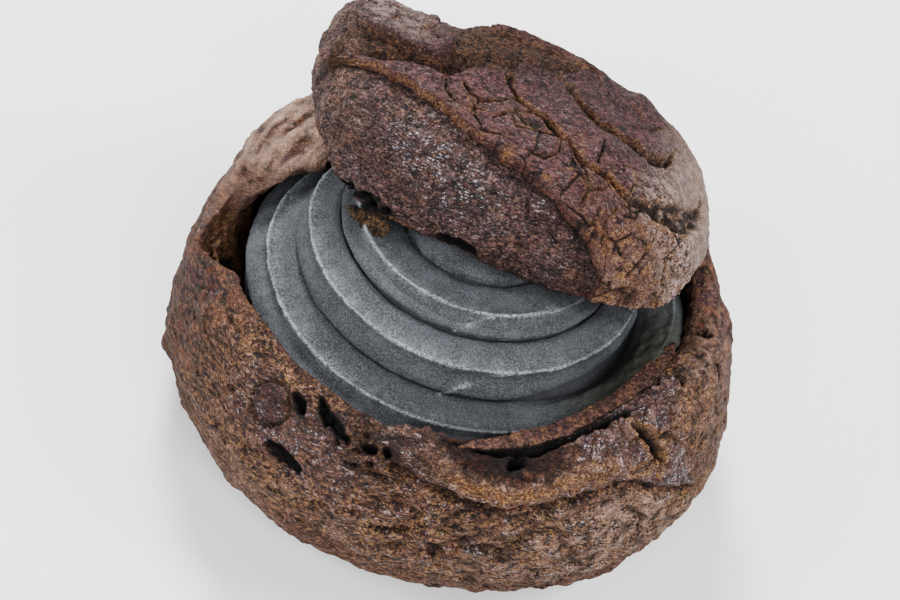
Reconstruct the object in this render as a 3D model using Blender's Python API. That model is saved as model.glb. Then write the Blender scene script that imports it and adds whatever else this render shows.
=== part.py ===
"""Black sesame cream puff: a choux bowl, a piped swirl of sesame cream and a cracked choux lid.

Lengths in the named sizes are millimetres; meshes are made in metres, +Z up.
The origin is the middle of the flat foot that the puff stands on. Azimuth 0 is +X,
90 is the back (+Y) and 270 is the front, where the lid leaves the cream in view.
"""
import math

import bmesh
import bpy
from mathutils import Matrix, Vector, noise

MM = 0.001
GAP = 0.3  # clearance between pieces that lie on each other

SEGMENTS = 64  # steps round each piece

# Choux bowl
BOWL_WIDEST = 16.0  # height of the widest level
FOOT_RADIUS = 28.5  # flat underside
CRUST_BUMP = 0.85  # height of the lumps of the bare choux
CRUST_WAVE = 11.0  # their size across

# Sections round the bowl: azimuth, widest radius, crest radius, crest height, lip radius,
# inner wall radius. The back left wall curls in over the cream and ends in a step.
BOWL_SECTIONS = (
    (0.0, 47.4, 40.6, 31.8, 36.0, 36.0),
    (16.0, 46.2, 40.4, 32.3, 36.4, 36.4),
    (42.0, 45.2, 39.2, 31.0, 36.0, 35.8),
    (90.0, 45.0, 38.0, 29.4, 35.8, 35.6),
    (112.0, 45.0, 38.0, 30.2, 35.2, 35.6),
    (130.0, 45.0, 38.4, 32.6, 31.2, 35.8),
    (143.0, 45.0, 38.8, 33.8, 28.2, 36.2),
    (154.0, 44.8, 39.0, 34.2, 27.4, 36.6),
    (163.0, 44.6, 39.2, 34.4, 28.0, 37.2),
    (173.0, 43.6, 37.8, 33.9, 31.2, 37.2),
    (182.0, 43.8, 39.8, 29.4, 37.2, 38.4),
    (194.0, 45.2, 42.4, 27.0, 39.4, 39.0),
    (206.0, 45.7, 38.6, 29.6, 36.2, 36.4),
    (225.0, 46.1, 37.4, 31.0, 35.5, 35.6),
    (270.0, 46.7, 37.2, 31.0, 35.5, 35.6),
    (295.0, 47.6, 37.8, 31.6, 34.4, 35.4),
    (318.0, 48.3, 37.3, 32.4, 33.4, 35.2),
    (338.0, 48.3, 37.8, 32.6, 34.0, 35.4),
)

# Cavity of the bowl, from the middle of its floor outward: radius and height
CAVITY = ((0.0, 6.8), (10.0, 7.1), (20.0, 8.8), (28.5, 13.0), (33.2, 18.6), (35.6, 23.4))

# Swirl of cream, from the wall inward: radius, height and kind of each line on it
CREAM_LINES = (
    (34.6, 25.4, "crease"),
    (31.2, 28.6, "crest"),
    (27.5, 31.2, "crease"),
    (25.8, 36.2, "crest"),
    (21.9, 38.7, "crease"),
    (19.2, 40.8, "crest"),
    (12.7, 40.4, "crease"),
)
CREASE_DEPTH = 0.8
CREST_HEIGHT = 0.5
CREAM_TOP = 42.6

# Lid, in its own frame: u to the right, v to the back, w up from its cut underside
LID_HALF_WIDTH = 32.0
LID_HALF_DEPTH = 23.5  # to the front
LID_BACK_DEPTH = 27.0
LID_BACK_SLOPE = (20.8, 0.84)  # height at the crown and fall of the back slope
LID_HEIGHT = 13.6  # crown above the widest level
LID_WIDEST = 5.2  # widest level above the underside
LID_CENTRE = (0.4, 12.6, 38.0)
LID_LEAN_BACK = 10.0  # degrees, front edge up
LID_LEAN_RIGHT = 5.5  # degrees, right edge down
LID_TURN = -10.0  # degrees about the upright axis
LID_SQUARE = 0.80  # 1 is an oval outline, less is squarer
LID_CRUST = 1.4  # height of the cracked sugar crust's edge

# Grooves of the lid: two ends in its own frame, depth and half width. The first three are the
# valley behind the front ridge of crust; the others are the wide cracks between its plates.
LID_GROOVES = (
    (((-24.0, -8.5), (-13.5, -5.0)), 2.0, 2.6),
    (((-13.5, -5.0), (-3.0, 3.0)), 3.0, 3.6),
    (((-3.0, 3.0), (9.0, 13.0)), 3.0, 4.2),
    (((-8.0, -8.2), (7.0, -13.2)), 1.0, 1.7),
    (((7.0, -13.2), (17.0, -16.0)), 1.0, 1.7),
    (((17.0, -16.0), (31.0, -7.5)), 1.1, 1.9),
    (((1.5, 2.2), (19.0, -2.2)), 1.0, 1.8),
    (((19.0, -2.2), (30.0, 4.0)), 1.0, 1.8),
)
LID_TEAR = ((-16.5, -20.5), (-10.5, -23.5))  # torn hollow above the front left edge


def spline(points, t):
    """Return the Catmull-Rom curve through points at t, counted in points."""
    last = len(points) - 1
    i = min(int(t), last - 1)
    f = t - i
    p0 = points[max(i - 1, 0)]
    p1, p2 = points[i], points[i + 1]
    p3 = points[min(i + 2, last)]
    out = []
    for a, b, c, d in zip(p0, p1, p2, p3):
        out.append(0.5 * (2 * b + (c - a) * f + (2 * a - 5 * b + 4 * c - d) * f * f
                          + (3 * b - a - 3 * c + d) * f * f * f))
    return out


def bump(angle, centre, half_width):
    """Return a smooth hump, 1 at centre and 0 beyond half_width degrees from it."""
    off = abs((angle - centre + 180.0) % 360.0 - 180.0) / half_width
    return 0.5 + 0.5 * math.cos(math.pi * off) if off < 1.0 else 0.0


def ramp(x, low, high):
    """Return x eased from 0 at low to 1 at high."""
    t = min(max((x - low) / (high - low), 0.0), 1.0)
    return t * t * (3.0 - 2.0 * t)


def lumps(x, y, z, size, seed=0.0):
    """Return smooth noise of about -1 to 1 whose lumps are size across."""
    p = Vector((x / size + seed, y / size - seed, z / size + 2.0 * seed))
    return noise.noise(p) + 0.45 * noise.noise(p * 2.1 + Vector((5.2, 1.3, 7.7)))


# Choux bowl
def section(azimuth):
    """Return the bowl's section sizes at an azimuth, eased between the named sections."""
    rows = BOWL_SECTIONS
    count = len(rows)
    azimuth %= 360.0
    i = max(k for k in range(count) if rows[k][0] <= azimuth)
    here, after = rows[i], rows[(i + 1) % count]
    span = (after[0] - here[0]) % 360.0
    f = (azimuth - here[0]) / span
    f = f * f * (3.0 - 2.0 * f)
    return [a + (b - a) * f for a, b in zip(here[1:], after[1:])]


def bowl_outline(azimuth):
    """Return the bowl's half section at an azimuth: foot, wall, rim, inner wall, floor."""
    wide, rim_r, rim_z, lip_r, wall_r = section(azimuth)
    curl = ramp(wall_r - lip_r, 1.0, 5.0)
    outline = [(0.0, 0.0), (0.5 * FOOT_RADIUS, 0.0), (FOOT_RADIUS, 0.0),
               (FOOT_RADIUS + 7.2, 1.5), (wide - 4.4, 5.0), (wide - 1.2, 9.6),
               (wide, BOWL_WIDEST), (wide - 0.8, 20.4),
               (0.62 * wide + 0.38 * rim_r, 0.45 * 20.4 + 0.55 * rim_z - 0.6),
               (0.3 * wide + 0.7 * rim_r + 0.5, 0.18 * 20.4 + 0.82 * rim_z),
               (rim_r, rim_z), (0.45 * rim_r + 0.55 * lip_r, rim_z + 0.2),
               (lip_r, rim_z - 0.9), (lip_r + 0.15 + 2.0 * curl, rim_z - 3.0),
               (0.4 * lip_r + 0.6 * wall_r + 0.2, 26.2 + 0.8 * curl)]
    inner = [list(p) for p in reversed(CAVITY)]
    inner[0][0] = wall_r
    inner[1][0] += 0.4 * (wall_r - CAVITY[-1][0])
    return outline + [tuple(p) for p in inner]


def bowl_point(t, azimuth):
    """Return the bowl's surface point at station t and azimuth in degrees."""
    r, z = spline(bowl_outline(azimuth), t)
    a = math.radians(azimuth)
    x, y = r * math.cos(a), r * math.sin(a)
    if t <= 2.0:
        return Vector((x, y, 0.0))
    z = max(z, 0.0)
    outer = ramp(t, 2.6, 4.4) * (1.0 - ramp(t, 11.0, 12.4))
    swell = CRUST_BUMP * outer * lumps(x, y, z, CRUST_WAVE, 1.7)
    sheet = craquelin_on_bowl(t, azimuth)
    slit = flap_slit(t, azimuth)
    n = Vector((math.cos(a) * ramp(12.0 - t, 0.0, 4.0), math.sin(a) * ramp(12.0 - t, 0.0, 4.0),
                ramp(t, 6.0, 10.0))) if t < 12.0 else Vector((0.0, 0.0, 0.0))
    n = n.normalized() if n.length > 0.0 else n
    return Vector((x, y, z)) + n * (swell + sheet - slit)


def craquelin_on_bowl(t, azimuth):
    """Return how far the sugar crust stands proud of the bowl's upper right side."""
    span = bump(azimuth, 318.0, 82.0) ** 0.5
    edge = 8.2 + 1.5 * ramp(288.0 - azimuth, 0.0, 42.0)
    return 1.5 * span * ramp(t, edge - 0.5, edge + 0.1) * (1.0 - ramp(t, 10.6, 12.0))


def flap_slit(t, azimuth):
    """Return the depth of the slit between the lifted strip of crust and the rim."""
    return 3.6 * bump(azimuth, 309.0, 28.0) ** 0.7 * max(0.0, 1.0 - abs(t - 10.5) / 0.5)


# Piped cream
def wall_limit(z, azimuth):
    """Return the radius that the cream may fill at height z, inside the bowl's wall."""
    wall = bowl_outline(azimuth)[12:16]
    if z >= wall[0][1] + 1.0:
        return 99.0
    for (r1, z1), (r2, z2) in zip(wall, wall[1:]):
        if z >= z2:
            f = min(max((z - z2) / (z1 - z2), 0.0), 1.0)
            return r2 + (r1 - r2) * f - 2.0 * GAP
    return wall[-1][0]


def cream_outline():
    """Return the swirl's half section from the floor of the bowl to its crown."""
    wall = []
    for i, (r, z) in enumerate(CAVITY[:-1]):
        before = CAVITY[max(i - 1, 0)]
        after = CAVITY[i + 1]
        dr, dz = after[0] - before[0], after[1] - before[1]
        run = math.hypot(dr, dz)
        wall.append((max(r - GAP * 1.15 * dz / run, 0.0), z + GAP * 1.15 * dr / run))
    rise = [(34.1, 22.2)]
    ropes = []
    lines = CREAM_LINES + ((5.0, CREAM_TOP, "crest"),)
    for i, (r, z, kind) in enumerate(lines):
        after = lines[i + 1] if i + 1 < len(lines) else (0.0, CREAM_TOP - 0.6, "end")
        before = lines[i - 1] if i else (35.0, 20.0, "start")
        dr, dz = after[0] - before[0], after[1] - before[1]
        run = math.hypot(dr, dz)
        out = CREST_HEIGHT if kind == "crest" else -CREASE_DEPTH
        ropes.append((r + out * dz / run, z - out * dr / run))
        if i + 1 < len(lines):
            nr, nz = after[0] - r, after[1] - z
            step = math.hypot(nr, nz)
            f = 0.42 if kind == "crease" else 0.55
            fat = 0.55
            ropes.append((r + f * nr + fat * nz / step, z + f * nz - fat * nr / step))
    return wall + rise + ropes + [(0.0, CREAM_TOP - 0.4)]


def lid_axes():
    """Return the lid's matrix from its own frame to the puff's, in millimetres."""
    turn = Matrix.Rotation(math.radians(LID_TURN), 4, "Z")
    lean = (Matrix.Rotation(math.radians(LID_LEAN_RIGHT), 4, "Y")
            @ Matrix.Rotation(math.radians(-LID_LEAN_BACK), 4, "X"))
    return Matrix.Translation(Vector(LID_CENTRE)) @ lean @ turn


def underside_height(x, y):
    """Return the height of the lid's cut underside above the point x, y."""
    m = lid_axes()
    normal = m.to_3x3() @ Vector((0.0, 0.0, 1.0))
    origin = m.translation
    return origin.z - (normal.x * (x - origin.x) + normal.y * (y - origin.y)) / normal.z


def cream_point(t, azimuth, outline, last):
    """Return the swirl's surface point at station t and azimuth in degrees."""
    r, z = spline(outline, t)
    a = math.radians(azimuth)
    free = ramp(t, 6.5, 8.5) * (1.0 - ramp(t, last - 1.5, last))
    wander = free * (0.35 * math.sin(a + 0.6) + 0.25 * math.sin(2.0 * a + 2.1)
                     - 1.5 * bump(azimuth, 155.0, 36.0))
    r = max(r + wander, 0.0)
    edge = ramp(t, 5.2, 6.6) * (1.0 - ramp(t, 7.5, 10.2))
    z += 3.8 * bump(azimuth, 348.0, 58.0) * edge
    r += 1.2 * bump(azimuth, 4.0, 50.0) * edge
    if t > 5.0:
        r = min(r, wall_limit(z, azimuth))
    x, y = r * math.cos(a), r * math.sin(a)
    if t > 6.0:
        z = min(z + 0.6 * wander, underside_height(x, y) - GAP * 1.3)
    return Vector((x, y, z))


# Choux lid
def crust_edge(u):
    """Return v of the front edge of the lid's sugar crust at u."""
    return -9.0 - 8.6 * ramp(u, -36.0, 8.0) - 2.2 * ramp(u, 2.0, 20.0)


def near_line(u, v, ends, width):
    """Return 1 on the line between two named points, falling to 0 at width from it."""
    (u1, v1), (u2, v2) = ends
    du, dv = u2 - u1, v2 - v1
    f = min(max(((u - u1) * du + (v - v1) * dv) / (du * du + dv * dv), 0.0), 1.0)
    off = math.hypot(u - u1 - f * du, v - v1 - f * dv)
    return max(0.0, 1.0 - off / width)


def lid_point(t, azimuth):
    """Return the lid's surface point in its own frame; t from 0, underside, to 1, crown."""
    a = math.radians(azimuth)
    ca, sa = math.cos(a), math.sin(a)
    reach = 1.0 + 0.13 * bump(azimuth, 247.0, 30.0) + 0.06 * bump(azimuth, 334.0, 28.0)
    left = bump(azimuth, 170.0, 36.0)
    if t < 0.28:
        k = t / 0.28
        f, w = 0.88 * k * (1.0 + (reach - 1.0) * k), 0.0
    elif t < 0.5:
        k = (t - 0.28) / 0.22
        f = (0.88 + 0.12 * math.sin(0.5 * math.pi * k)) * (reach + (1.0 - reach) * k * k)
        f *= 1.0 + 0.06 * left * k * k
        w = LID_WIDEST * (1.0 - math.cos(0.5 * math.pi * k))
    else:
        k = (t - 0.5) / 0.5
        phi = 0.5 * math.pi * k
        blunt = bump(azimuth, 176.0, 50.0)
        lean = bump(azimuth, 28.0, 60.0) * ramp(k, 0.0, 0.3)
        f = (1.0 - 0.10 * lean) * math.cos(phi) ** (0.8 - 0.36 * blunt + 0.12 * lean)
        f *= 1.0 + left * (0.06 + 0.10 * math.sin(min(2.6 * phi, math.pi)))
        low = 1.0 - 0.17 * blunt * (1.0 - ramp(k, 0.7, 1.0))
        w = LID_WIDEST + LID_HEIGHT * low * math.sin(phi) ** (0.92 - 0.12 * blunt)
    cu = math.copysign(abs(ca) ** LID_SQUARE, ca)
    cv = math.copysign(abs(sa) ** LID_SQUARE, sa)
    u, v = f * LID_HALF_WIDTH * cu, f * (LID_HALF_DEPTH if cv < 0.0 else LID_BACK_DEPTH) * cv
    if t <= 0.28:
        return Vector((u, v, w))
    slope = LID_BACK_SLOPE[0] + 7.8 * ramp(u, -26.0, -5.0) - LID_BACK_SLOPE[1] * v
    if v > 0.0 and w > LID_WIDEST:
        eased = -1.2 * math.log(math.exp(-w / 1.2) + math.exp(-slope / 1.2))
        w = max(eased, LID_WIDEST * 0.6 + 0.4 * w)
    up = ramp(t, 0.3, 0.6)
    front = v - crust_edge(u)
    swell = 0.9 * up * lumps(u, v, w, 10.0, 4.3)
    crust = LID_CRUST * up * ramp(front, -0.4, 0.4) * ramp(u, -31.0, -22.0)
    groove = 0.0
    for ends, depth, width in LID_GROOVES:
        groove = max(groove, depth * up * near_line(u, v, ends, width))
    tear = 3.2 * ramp(t, 0.29, 0.34) * near_line(u, v, LID_TEAR, 3.4) * (1.0 - ramp(w, 4.0, 7.0))
    n = Vector((u / LID_HALF_WIDTH ** 2, v / LID_HALF_DEPTH ** 2,
                max(w - LID_WIDEST, 0.0) / LID_HEIGHT ** 2)).normalized()
    return Vector((u, v, w)) + n * (swell + crust - groove - tear)


# Building
def closed_form(name, rings, place, material, collection):
    """Add a closed form: a sphere whose points are moved by place(fraction, azimuth)."""
    bm = bmesh.new()
    bmesh.ops.create_uvsphere(bm, u_segments=SEGMENTS, v_segments=rings, radius=1.0)
    for vert in bm.verts:
        fraction = math.acos(max(-1.0, min(1.0, -vert.co.z))) / math.pi
        fraction = round(fraction * rings) / rings
        azimuth = math.degrees(math.atan2(vert.co.y, vert.co.x)) % 360.0
        azimuth = round(azimuth * SEGMENTS / 360.0) * 360.0 / SEGMENTS
        vert.co = place(fraction, azimuth) * MM
    bmesh.ops.triangulate(bm, faces=bm.faces[:], quad_method="SHORT_EDGE")
    bmesh.ops.recalc_face_normals(bm, faces=bm.faces[:])
    mesh = bpy.data.meshes.new(name)
    bm.to_mesh(mesh)
    bm.free()
    mesh.shade_smooth()
    mesh.materials.append(material)
    obj = bpy.data.objects.new(name, mesh)
    collection.objects.link(obj)
    return obj


def baked_finish(name, colour, roughness):
    """Return a Principled material of one colour and roughness."""
    material = bpy.data.materials.new(name)
    material.use_nodes = True
    shader = material.node_tree.nodes["Principled BSDF"]
    shader.inputs["Base Color"].default_value = (*colour, 1.0)
    shader.inputs["Roughness"].default_value = roughness
    shader.inputs["Metallic"].default_value = 0.0
    return material


def spread(counts):
    """Return the station of each ring for a count of rings between stations."""
    stations = [0.0]
    for i, count in enumerate(counts):
        for k in range(1, count + 1):
            stations.append(i + k / count)
    return stations


def build_bowl(collection):
    """Build the choux bowl."""
    counts = [1, 1, 1, 2, 2, 2, 3, 3, 3, 3, 4, 3, 1, 2, 1, 1, 1, 1, 1, 1]
    stations = spread(counts)
    finish = baked_finish("dark_choux", (0.17, 0.105, 0.075), 0.62)
    rings = len(stations) - 1
    return closed_form("choux_bowl", rings,
                       lambda f, a: bowl_point(stations[round(f * rings)], a), finish, collection)


def build_cream(collection):
    """Build the piped swirl of sesame cream."""
    outline = cream_outline()
    counts = [1] * 5 + [1] + [2] * (len(outline) - 8) + [1]
    stations = spread(counts)
    last = float(len(outline) - 1)
    finish = baked_finish("sesame_cream", (0.16, 0.165, 0.175), 0.7)
    rings = len(stations) - 1
    return closed_form("sesame_cream", rings,
                       lambda f, a: cream_point(stations[round(f * rings)], a, outline, last),
                       finish, collection)


def build_lid(collection):
    """Build the cracked choux lid that leans back on the cream."""
    finish = baked_finish("dark_craquelin", (0.14, 0.08, 0.07), 0.7)
    axes = lid_axes()
    fractions = ([0.0, 0.1, 0.2, 0.28] + [0.28 + 0.22 * k / 5 for k in range(1, 6)]
                 + [0.5 + 0.5 * k / 20 for k in range(1, 21)])
    rings = len(fractions) - 1
    return closed_form("choux_lid", rings,
                       lambda f, a: axes @ lid_point(fractions[round(f * rings)], a),
                       finish, collection)


def main():
    """Clear the scene and build the puff's three pieces."""
    for obj in list(bpy.data.objects):
        bpy.data.objects.remove(obj)
    puff = bpy.data.collections.new("cream_puff")
    bpy.context.scene.collection.children.link(puff)
    build_bowl(puff)
    build_cream(puff)
    build_lid(puff)


main()
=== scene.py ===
"""Dressed scene of the black sesame cream puff.

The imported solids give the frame. Each is replaced by finer skins with the baked, cracked and
piped surfaces. Named lengths are millimetres and angles are degrees; azimuth 0 is +X, 90 is
the back and 270 the front. Meshes are made in metres.
"""
import logging
import math
from dataclasses import dataclass, field
from enum import Enum
from functools import cached_property
from typing import Any, Sequence

import bmesh
import bpy
import numpy as np
from mathutils import Matrix, Vector, noise


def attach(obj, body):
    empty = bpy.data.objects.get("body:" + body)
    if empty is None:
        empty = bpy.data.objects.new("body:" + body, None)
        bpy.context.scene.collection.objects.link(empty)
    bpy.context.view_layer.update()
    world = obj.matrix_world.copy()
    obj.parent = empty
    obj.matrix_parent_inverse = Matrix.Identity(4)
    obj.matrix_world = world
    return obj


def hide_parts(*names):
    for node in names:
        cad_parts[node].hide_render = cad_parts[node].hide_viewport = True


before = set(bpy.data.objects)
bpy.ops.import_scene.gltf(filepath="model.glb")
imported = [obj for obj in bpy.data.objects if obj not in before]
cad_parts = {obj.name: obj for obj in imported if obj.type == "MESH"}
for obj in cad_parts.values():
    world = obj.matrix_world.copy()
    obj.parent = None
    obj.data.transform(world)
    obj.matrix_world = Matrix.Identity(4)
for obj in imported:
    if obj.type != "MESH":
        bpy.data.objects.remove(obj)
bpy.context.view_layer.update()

LOG = logging.getLogger("cream_puff")
MM = 0.001
FAR = 1e6  # farther than anything here, in any unit
Array = np.ndarray
Point = tuple[float, float, float]
Colour = tuple[float, float, float]
Span = tuple[float, float]


class Paint(Enum):
    """What a skin tells its finish about each point, from 0 to 1."""

    CRUST = "crust"
    CRUMB = "crumb"
    # painted shade: black laid into holes, cracks, creases, pits and gaps and under overhangs,
    # where shade falls
    PAINTED_SHADE = "hollow"
    # paler colour: the thing's own pale patches, and on the cream's crests and some edges painted
    # highlight and rim light
    PALE = "pale"
    RUST = "rust"
    # glossy places: lower roughness and a thin coat, with painted highlight specks laid into the
    # colour
    GLOSS_AND_PAINTED_HIGHLIGHT = "gloss_and_painted_highlight"
    SOFT = "soft"


# Shaping helpers


def ramp(x: Array, low: float, high: float) -> Array:
    """Return x eased from 0 at low to 1 at high."""
    t = np.clip((x - low) / (high - low), 0.0, 1.0)
    return t * t * (3.0 - 2.0 * t)


def fade(x: Array, low: float, high: float) -> Array:
    """Return x eased from 1 at low to 0 at high."""
    return 1.0 - ramp(x, low, high)


def bell(x: Array, width: float | Array) -> Array:
    """Return a smooth hill, 1 where x is 0."""
    return np.exp(-(x / width) ** 2)


def bump(angle: Array, centre: float, half_width: float) -> Array:
    """Return a smooth hump, 1 at centre and 0 beyond half_width degrees from it."""
    off = np.abs((angle - centre + 180.0) % 360.0 - 180.0) / half_width
    return np.where(off < 1.0, 0.5 + 0.5 * np.cos(np.pi * np.minimum(off, 1.0)), 0.0)


def norm(vectors: Array) -> Array:
    """Return the length of each vector."""
    return np.linalg.norm(vectors, axis=-1)


def most(values: Sequence[Array | float]) -> Array:
    """Return the largest of several arrays or numbers at each place."""
    out = values[0]
    for value in values[1:]:
        out = np.maximum(out, value)
    return out


def hashed(i: Array, j: Array, k: Array, seed: int) -> Array:
    """Return a whole random number for each lattice point."""
    n = (i.astype(np.uint32) * np.uint32(374761393) + j.astype(np.uint32) * np.uint32(668265263)
         + k.astype(np.uint32) * np.uint32(2246822519)
         + np.uint32((seed * 3266489917) & 0xFFFFFFFF))
    n = (n ^ (n >> np.uint32(13))) * np.uint32(1274126177)
    n = (n ^ (n >> np.uint32(16))) * np.uint32(2654435769)
    return n ^ (n >> np.uint32(15))


def three(h: Array) -> Array:
    """Return three numbers from 0 to 1 for each whole random number."""
    return np.stack([(h >> np.uint32(k)) & np.uint32(1023) for k in (0, 10, 20)], -1) / 1023.0


def ripple(points: Array, size: float | Sequence[float], seed: int = 0) -> Array:
    """Return smooth noise, about -1 to 1.

    Args:
        points: Places, millimetres, in the last axis.
        size: Size of one lump, or one size for each axis.
        seed: Picks another pattern.

    Returns:
        One number for each place.
    """
    q = points / np.asarray(size, dtype=float) + 37.7
    cell = np.floor(q).astype(np.int64)
    f = q - cell
    w = f * f * f * (f * (f * 6.0 - 15.0) + 10.0)
    total = np.zeros(points.shape[:-1])
    for corner in range(8):
        dx, dy, dz = corner & 1, (corner >> 1) & 1, corner >> 2
        h = hashed(cell[..., 0] + dx, cell[..., 1] + dy, cell[..., 2] + dz, seed)
        slope = ((2.0 * three(h) - 1.0) * (f - np.array([dx, dy, dz]))).sum(-1)
        share = ((w[..., 0] if dx else 1.0 - w[..., 0]) * (w[..., 1] if dy else 1.0 - w[..., 1])
                 * (w[..., 2] if dz else 1.0 - w[..., 2]))
        total += slope * share
    return total * 1.5


def crinkle(points: Array, size: float | Sequence[float], seed: int = 0) -> Array:
    """Return rounded lumps with sharp creases between them, 0 in a crease to about 1."""
    return np.minimum(np.abs(ripple(points, size, seed)) * 2.2, 1.0)


def rough(points: Array, *layers: tuple[float, float | Sequence[float], int]) -> Array:
    """Return ripples on top of each other: strength, lump size and seed of each."""
    return sum(strength * ripple(points, size, seed) for strength, size, seed in layers)


def folded(points: Array, mean: float, *layers: tuple[float, float, int]) -> Array:
    """Return crinkles on top of each other, round a mean: strength, size and seed of each."""
    return sum(strength * (crinkle(points, size, seed) - mean)
               for strength, size, seed in layers)


def plates(points: Array, size: float | Sequence[float], seed: int = 0
           ) -> tuple[Array, Array, Array]:
    """Return where each place is in a pattern of irregular plates.

    Args:
        points: Places, millimetres, in the last axis.
        size: Size of one plate, or one size for each axis.
        seed: Picks another pattern.

    Returns:
        Distances to the border and to the plate's heart, both in plate sizes, and one random
        number from 0 to 1 for each plate.
    """
    q = points / np.asarray(size, dtype=float) + 19.3
    cell = np.floor(q).astype(np.int64)
    first = np.full(points.shape[:-1], 9.0)
    second = first.copy()
    near = np.zeros(points.shape)
    after = np.zeros(points.shape)
    name = np.zeros(points.shape[:-1])
    for step in range(27):
        c = cell + np.array([step % 3 - 1, (step // 3) % 3 - 1, step // 9 - 1])
        h = hashed(c[..., 0], c[..., 1], c[..., 2], seed)
        heart = c + three(h)
        away = ((q - heart) ** 2).sum(-1)
        closest = away < first
        middle = ~closest & (away < second)
        second = np.where(closest, first, np.where(middle, away, second))
        after = np.where(closest[..., None], near, np.where(middle[..., None], heart, after))
        first = np.where(closest, away, first)
        near = np.where(closest[..., None], heart, near)
        name = np.where(closest, (h >> np.uint32(4)) % np.uint32(1000) / 1000.0, name)
    apart = np.sqrt(((near - after) ** 2).sum(-1)) + 1e-6
    return (second - first) / (2.0 * apart), np.sqrt(first), name


def pitted(points: Array, size: float, seed: int, radius: float, soft: float,
           share: float) -> Array:
    """Return round pits, 1 inside and 0 outside.

    Args:
        points: Places, millimetres, in the last axis.
        size: Size of the cells that may hold a pit.
        seed: Picks another pattern.
        radius: Radius of a pit, in cells.
        soft: Width of its edge, in cells.
        share: How many of the cells hold one, 0 to 1.

    Returns:
        One number for each place.
    """
    _, reach, which = plates(points, size, seed)
    return ramp(radius - reach, 0.0, soft) * (which < share)


def beside(points: Array, route: Sequence[Sequence[float]]) -> Array:
    """Return how far each place is from a route of straight steps.

    Args:
        points: Places, millimetres, in the last axis.
        route: Points of the route; a fourth number is the half width of the route there.

    Returns:
        Distance from the route's side for each place, less than 0 inside it.
    """
    best = np.full(points.shape[:-1], FAR)
    for start, end in zip(route, route[1:]):
        a, b = np.array(start[:3]), np.array(end[:3])
        run = b - a
        f = np.clip(((points - a) @ run) / (run @ run), 0.0, 1.0)
        off = norm(points - a - f[..., None] * run)
        if len(start) > 3:
            off = off - start[3] - f * (end[3] - start[3])
        best = np.minimum(best, off)
    return best


def within(x: Array, y: Array, outline: Sequence[tuple[float, float]]) -> Array:
    """Return how far inside a closed outline each place of a plane is, less than 0 outside."""
    best = np.full(x.shape, FAR)
    odd = np.zeros(x.shape, dtype=bool)
    for (x1, y1), (x2, y2) in zip(outline, (*outline[1:], outline[0])):
        dx, dy = x2 - x1, y2 - y1
        f = np.clip(((x - x1) * dx + (y - y1) * dy) / (dx * dx + dy * dy), 0.0, 1.0)
        best = np.minimum(best, np.hypot(x - x1 - f * dx, y - y1 - f * dy))
        if y1 != y2:
            odd ^= ((y1 > y) != (y2 > y)) & (x < x1 + (y - y1) * dx / dy)
    return np.where(odd, best, -best)


def spline_rows(rows: Array, stations: Array) -> Array:
    """Return Catmull-Rom curves, one for each row of points, at the stations.

    Args:
        rows: Points of each row: rows, points, coordinates.
        stations: Places along the rows, counted in points.

    Returns:
        Rows, stations, coordinates.
    """
    last = rows.shape[1] - 1
    i = np.minimum(stations.astype(int), last - 1)
    f = (stations - i)[None, :, None]
    p0, p1 = rows[:, np.maximum(i - 1, 0)], rows[:, i]
    p2, p3 = rows[:, i + 1], rows[:, np.minimum(i + 2, last)]
    return 0.5 * (2.0 * p1 + (p2 - p0) * f + (2.0 * p0 - 5.0 * p1 + 4.0 * p2 - p3) * f ** 2
                  + (3.0 * p1 - p0 - 3.0 * p2 + p3) * f ** 3)


def spread(counts: Sequence[int]) -> Array:
    """Return the station of each ring for a count of rings between stations."""
    parts = [np.array([0.0])]
    for i, count in enumerate(counts):
        parts.append(i + np.arange(1, count + 1) / count)
    return np.concatenate(parts)


def fan(columns: int, centre: float, half_width: float, crowd: float) -> Array:
    """Return the azimuth of each column, crowded together round one side.

    Args:
        columns: Number of columns.
        centre: Middle of the crowded side.
        half_width: Its half width.
        crowd: How many times closer the columns are there.

    Returns:
        One azimuth for each column, rising from 0.
    """
    fine = np.linspace(0.0, 360.0, 7201)
    off = np.abs((fine - centre + 180.0) % 360.0 - 180.0)
    weight = 1.0 + (crowd - 1.0) * ramp(half_width + 20.0 - off, 0.0, 30.0)
    total = np.concatenate([[0.0], np.cumsum(0.5 * (weight[1:] + weight[:-1]))])
    return np.interp(np.arange(columns) / columns, total / total[-1], fine)


def outward(points: Array) -> Array:
    """Return the unit normals of a grid of columns and rings."""
    across = np.roll(points, -1, 0) - np.roll(points, 1, 0)
    along = np.gradient(points, axis=1)
    n = np.cross(across, along)
    return n / (norm(n)[..., None] + 1e-9)


def round_points(azimuth: Array, radius: Array, height: Array) -> Array:
    """Return points from azimuths, radii and heights."""
    a = np.radians(azimuth)
    return np.stack([radius * np.cos(a), radius * np.sin(a), height], -1)


def swell_noise(points: Array, size: float, seed: float) -> Array:
    """Return the broad lumps that the solids have too, about -1 to 1."""
    flat = points.reshape(-1, 3) / size + np.array([seed, -seed, 2.0 * seed])
    shift = Vector((5.2, 1.3, 7.7))
    out = [noise.noise(p) + 0.45 * noise.noise(p * 2.1 + shift) for p in map(Vector, flat)]
    return np.array(out).reshape(points.shape[:-1])


def placed(name: str, data: bpy.types.ID) -> bpy.types.Object:
    """Add an object with its mesh, light or camera to the scene."""
    made = bpy.data.objects.new(name, data)
    bpy.context.scene.collection.objects.link(made)
    return made


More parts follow.
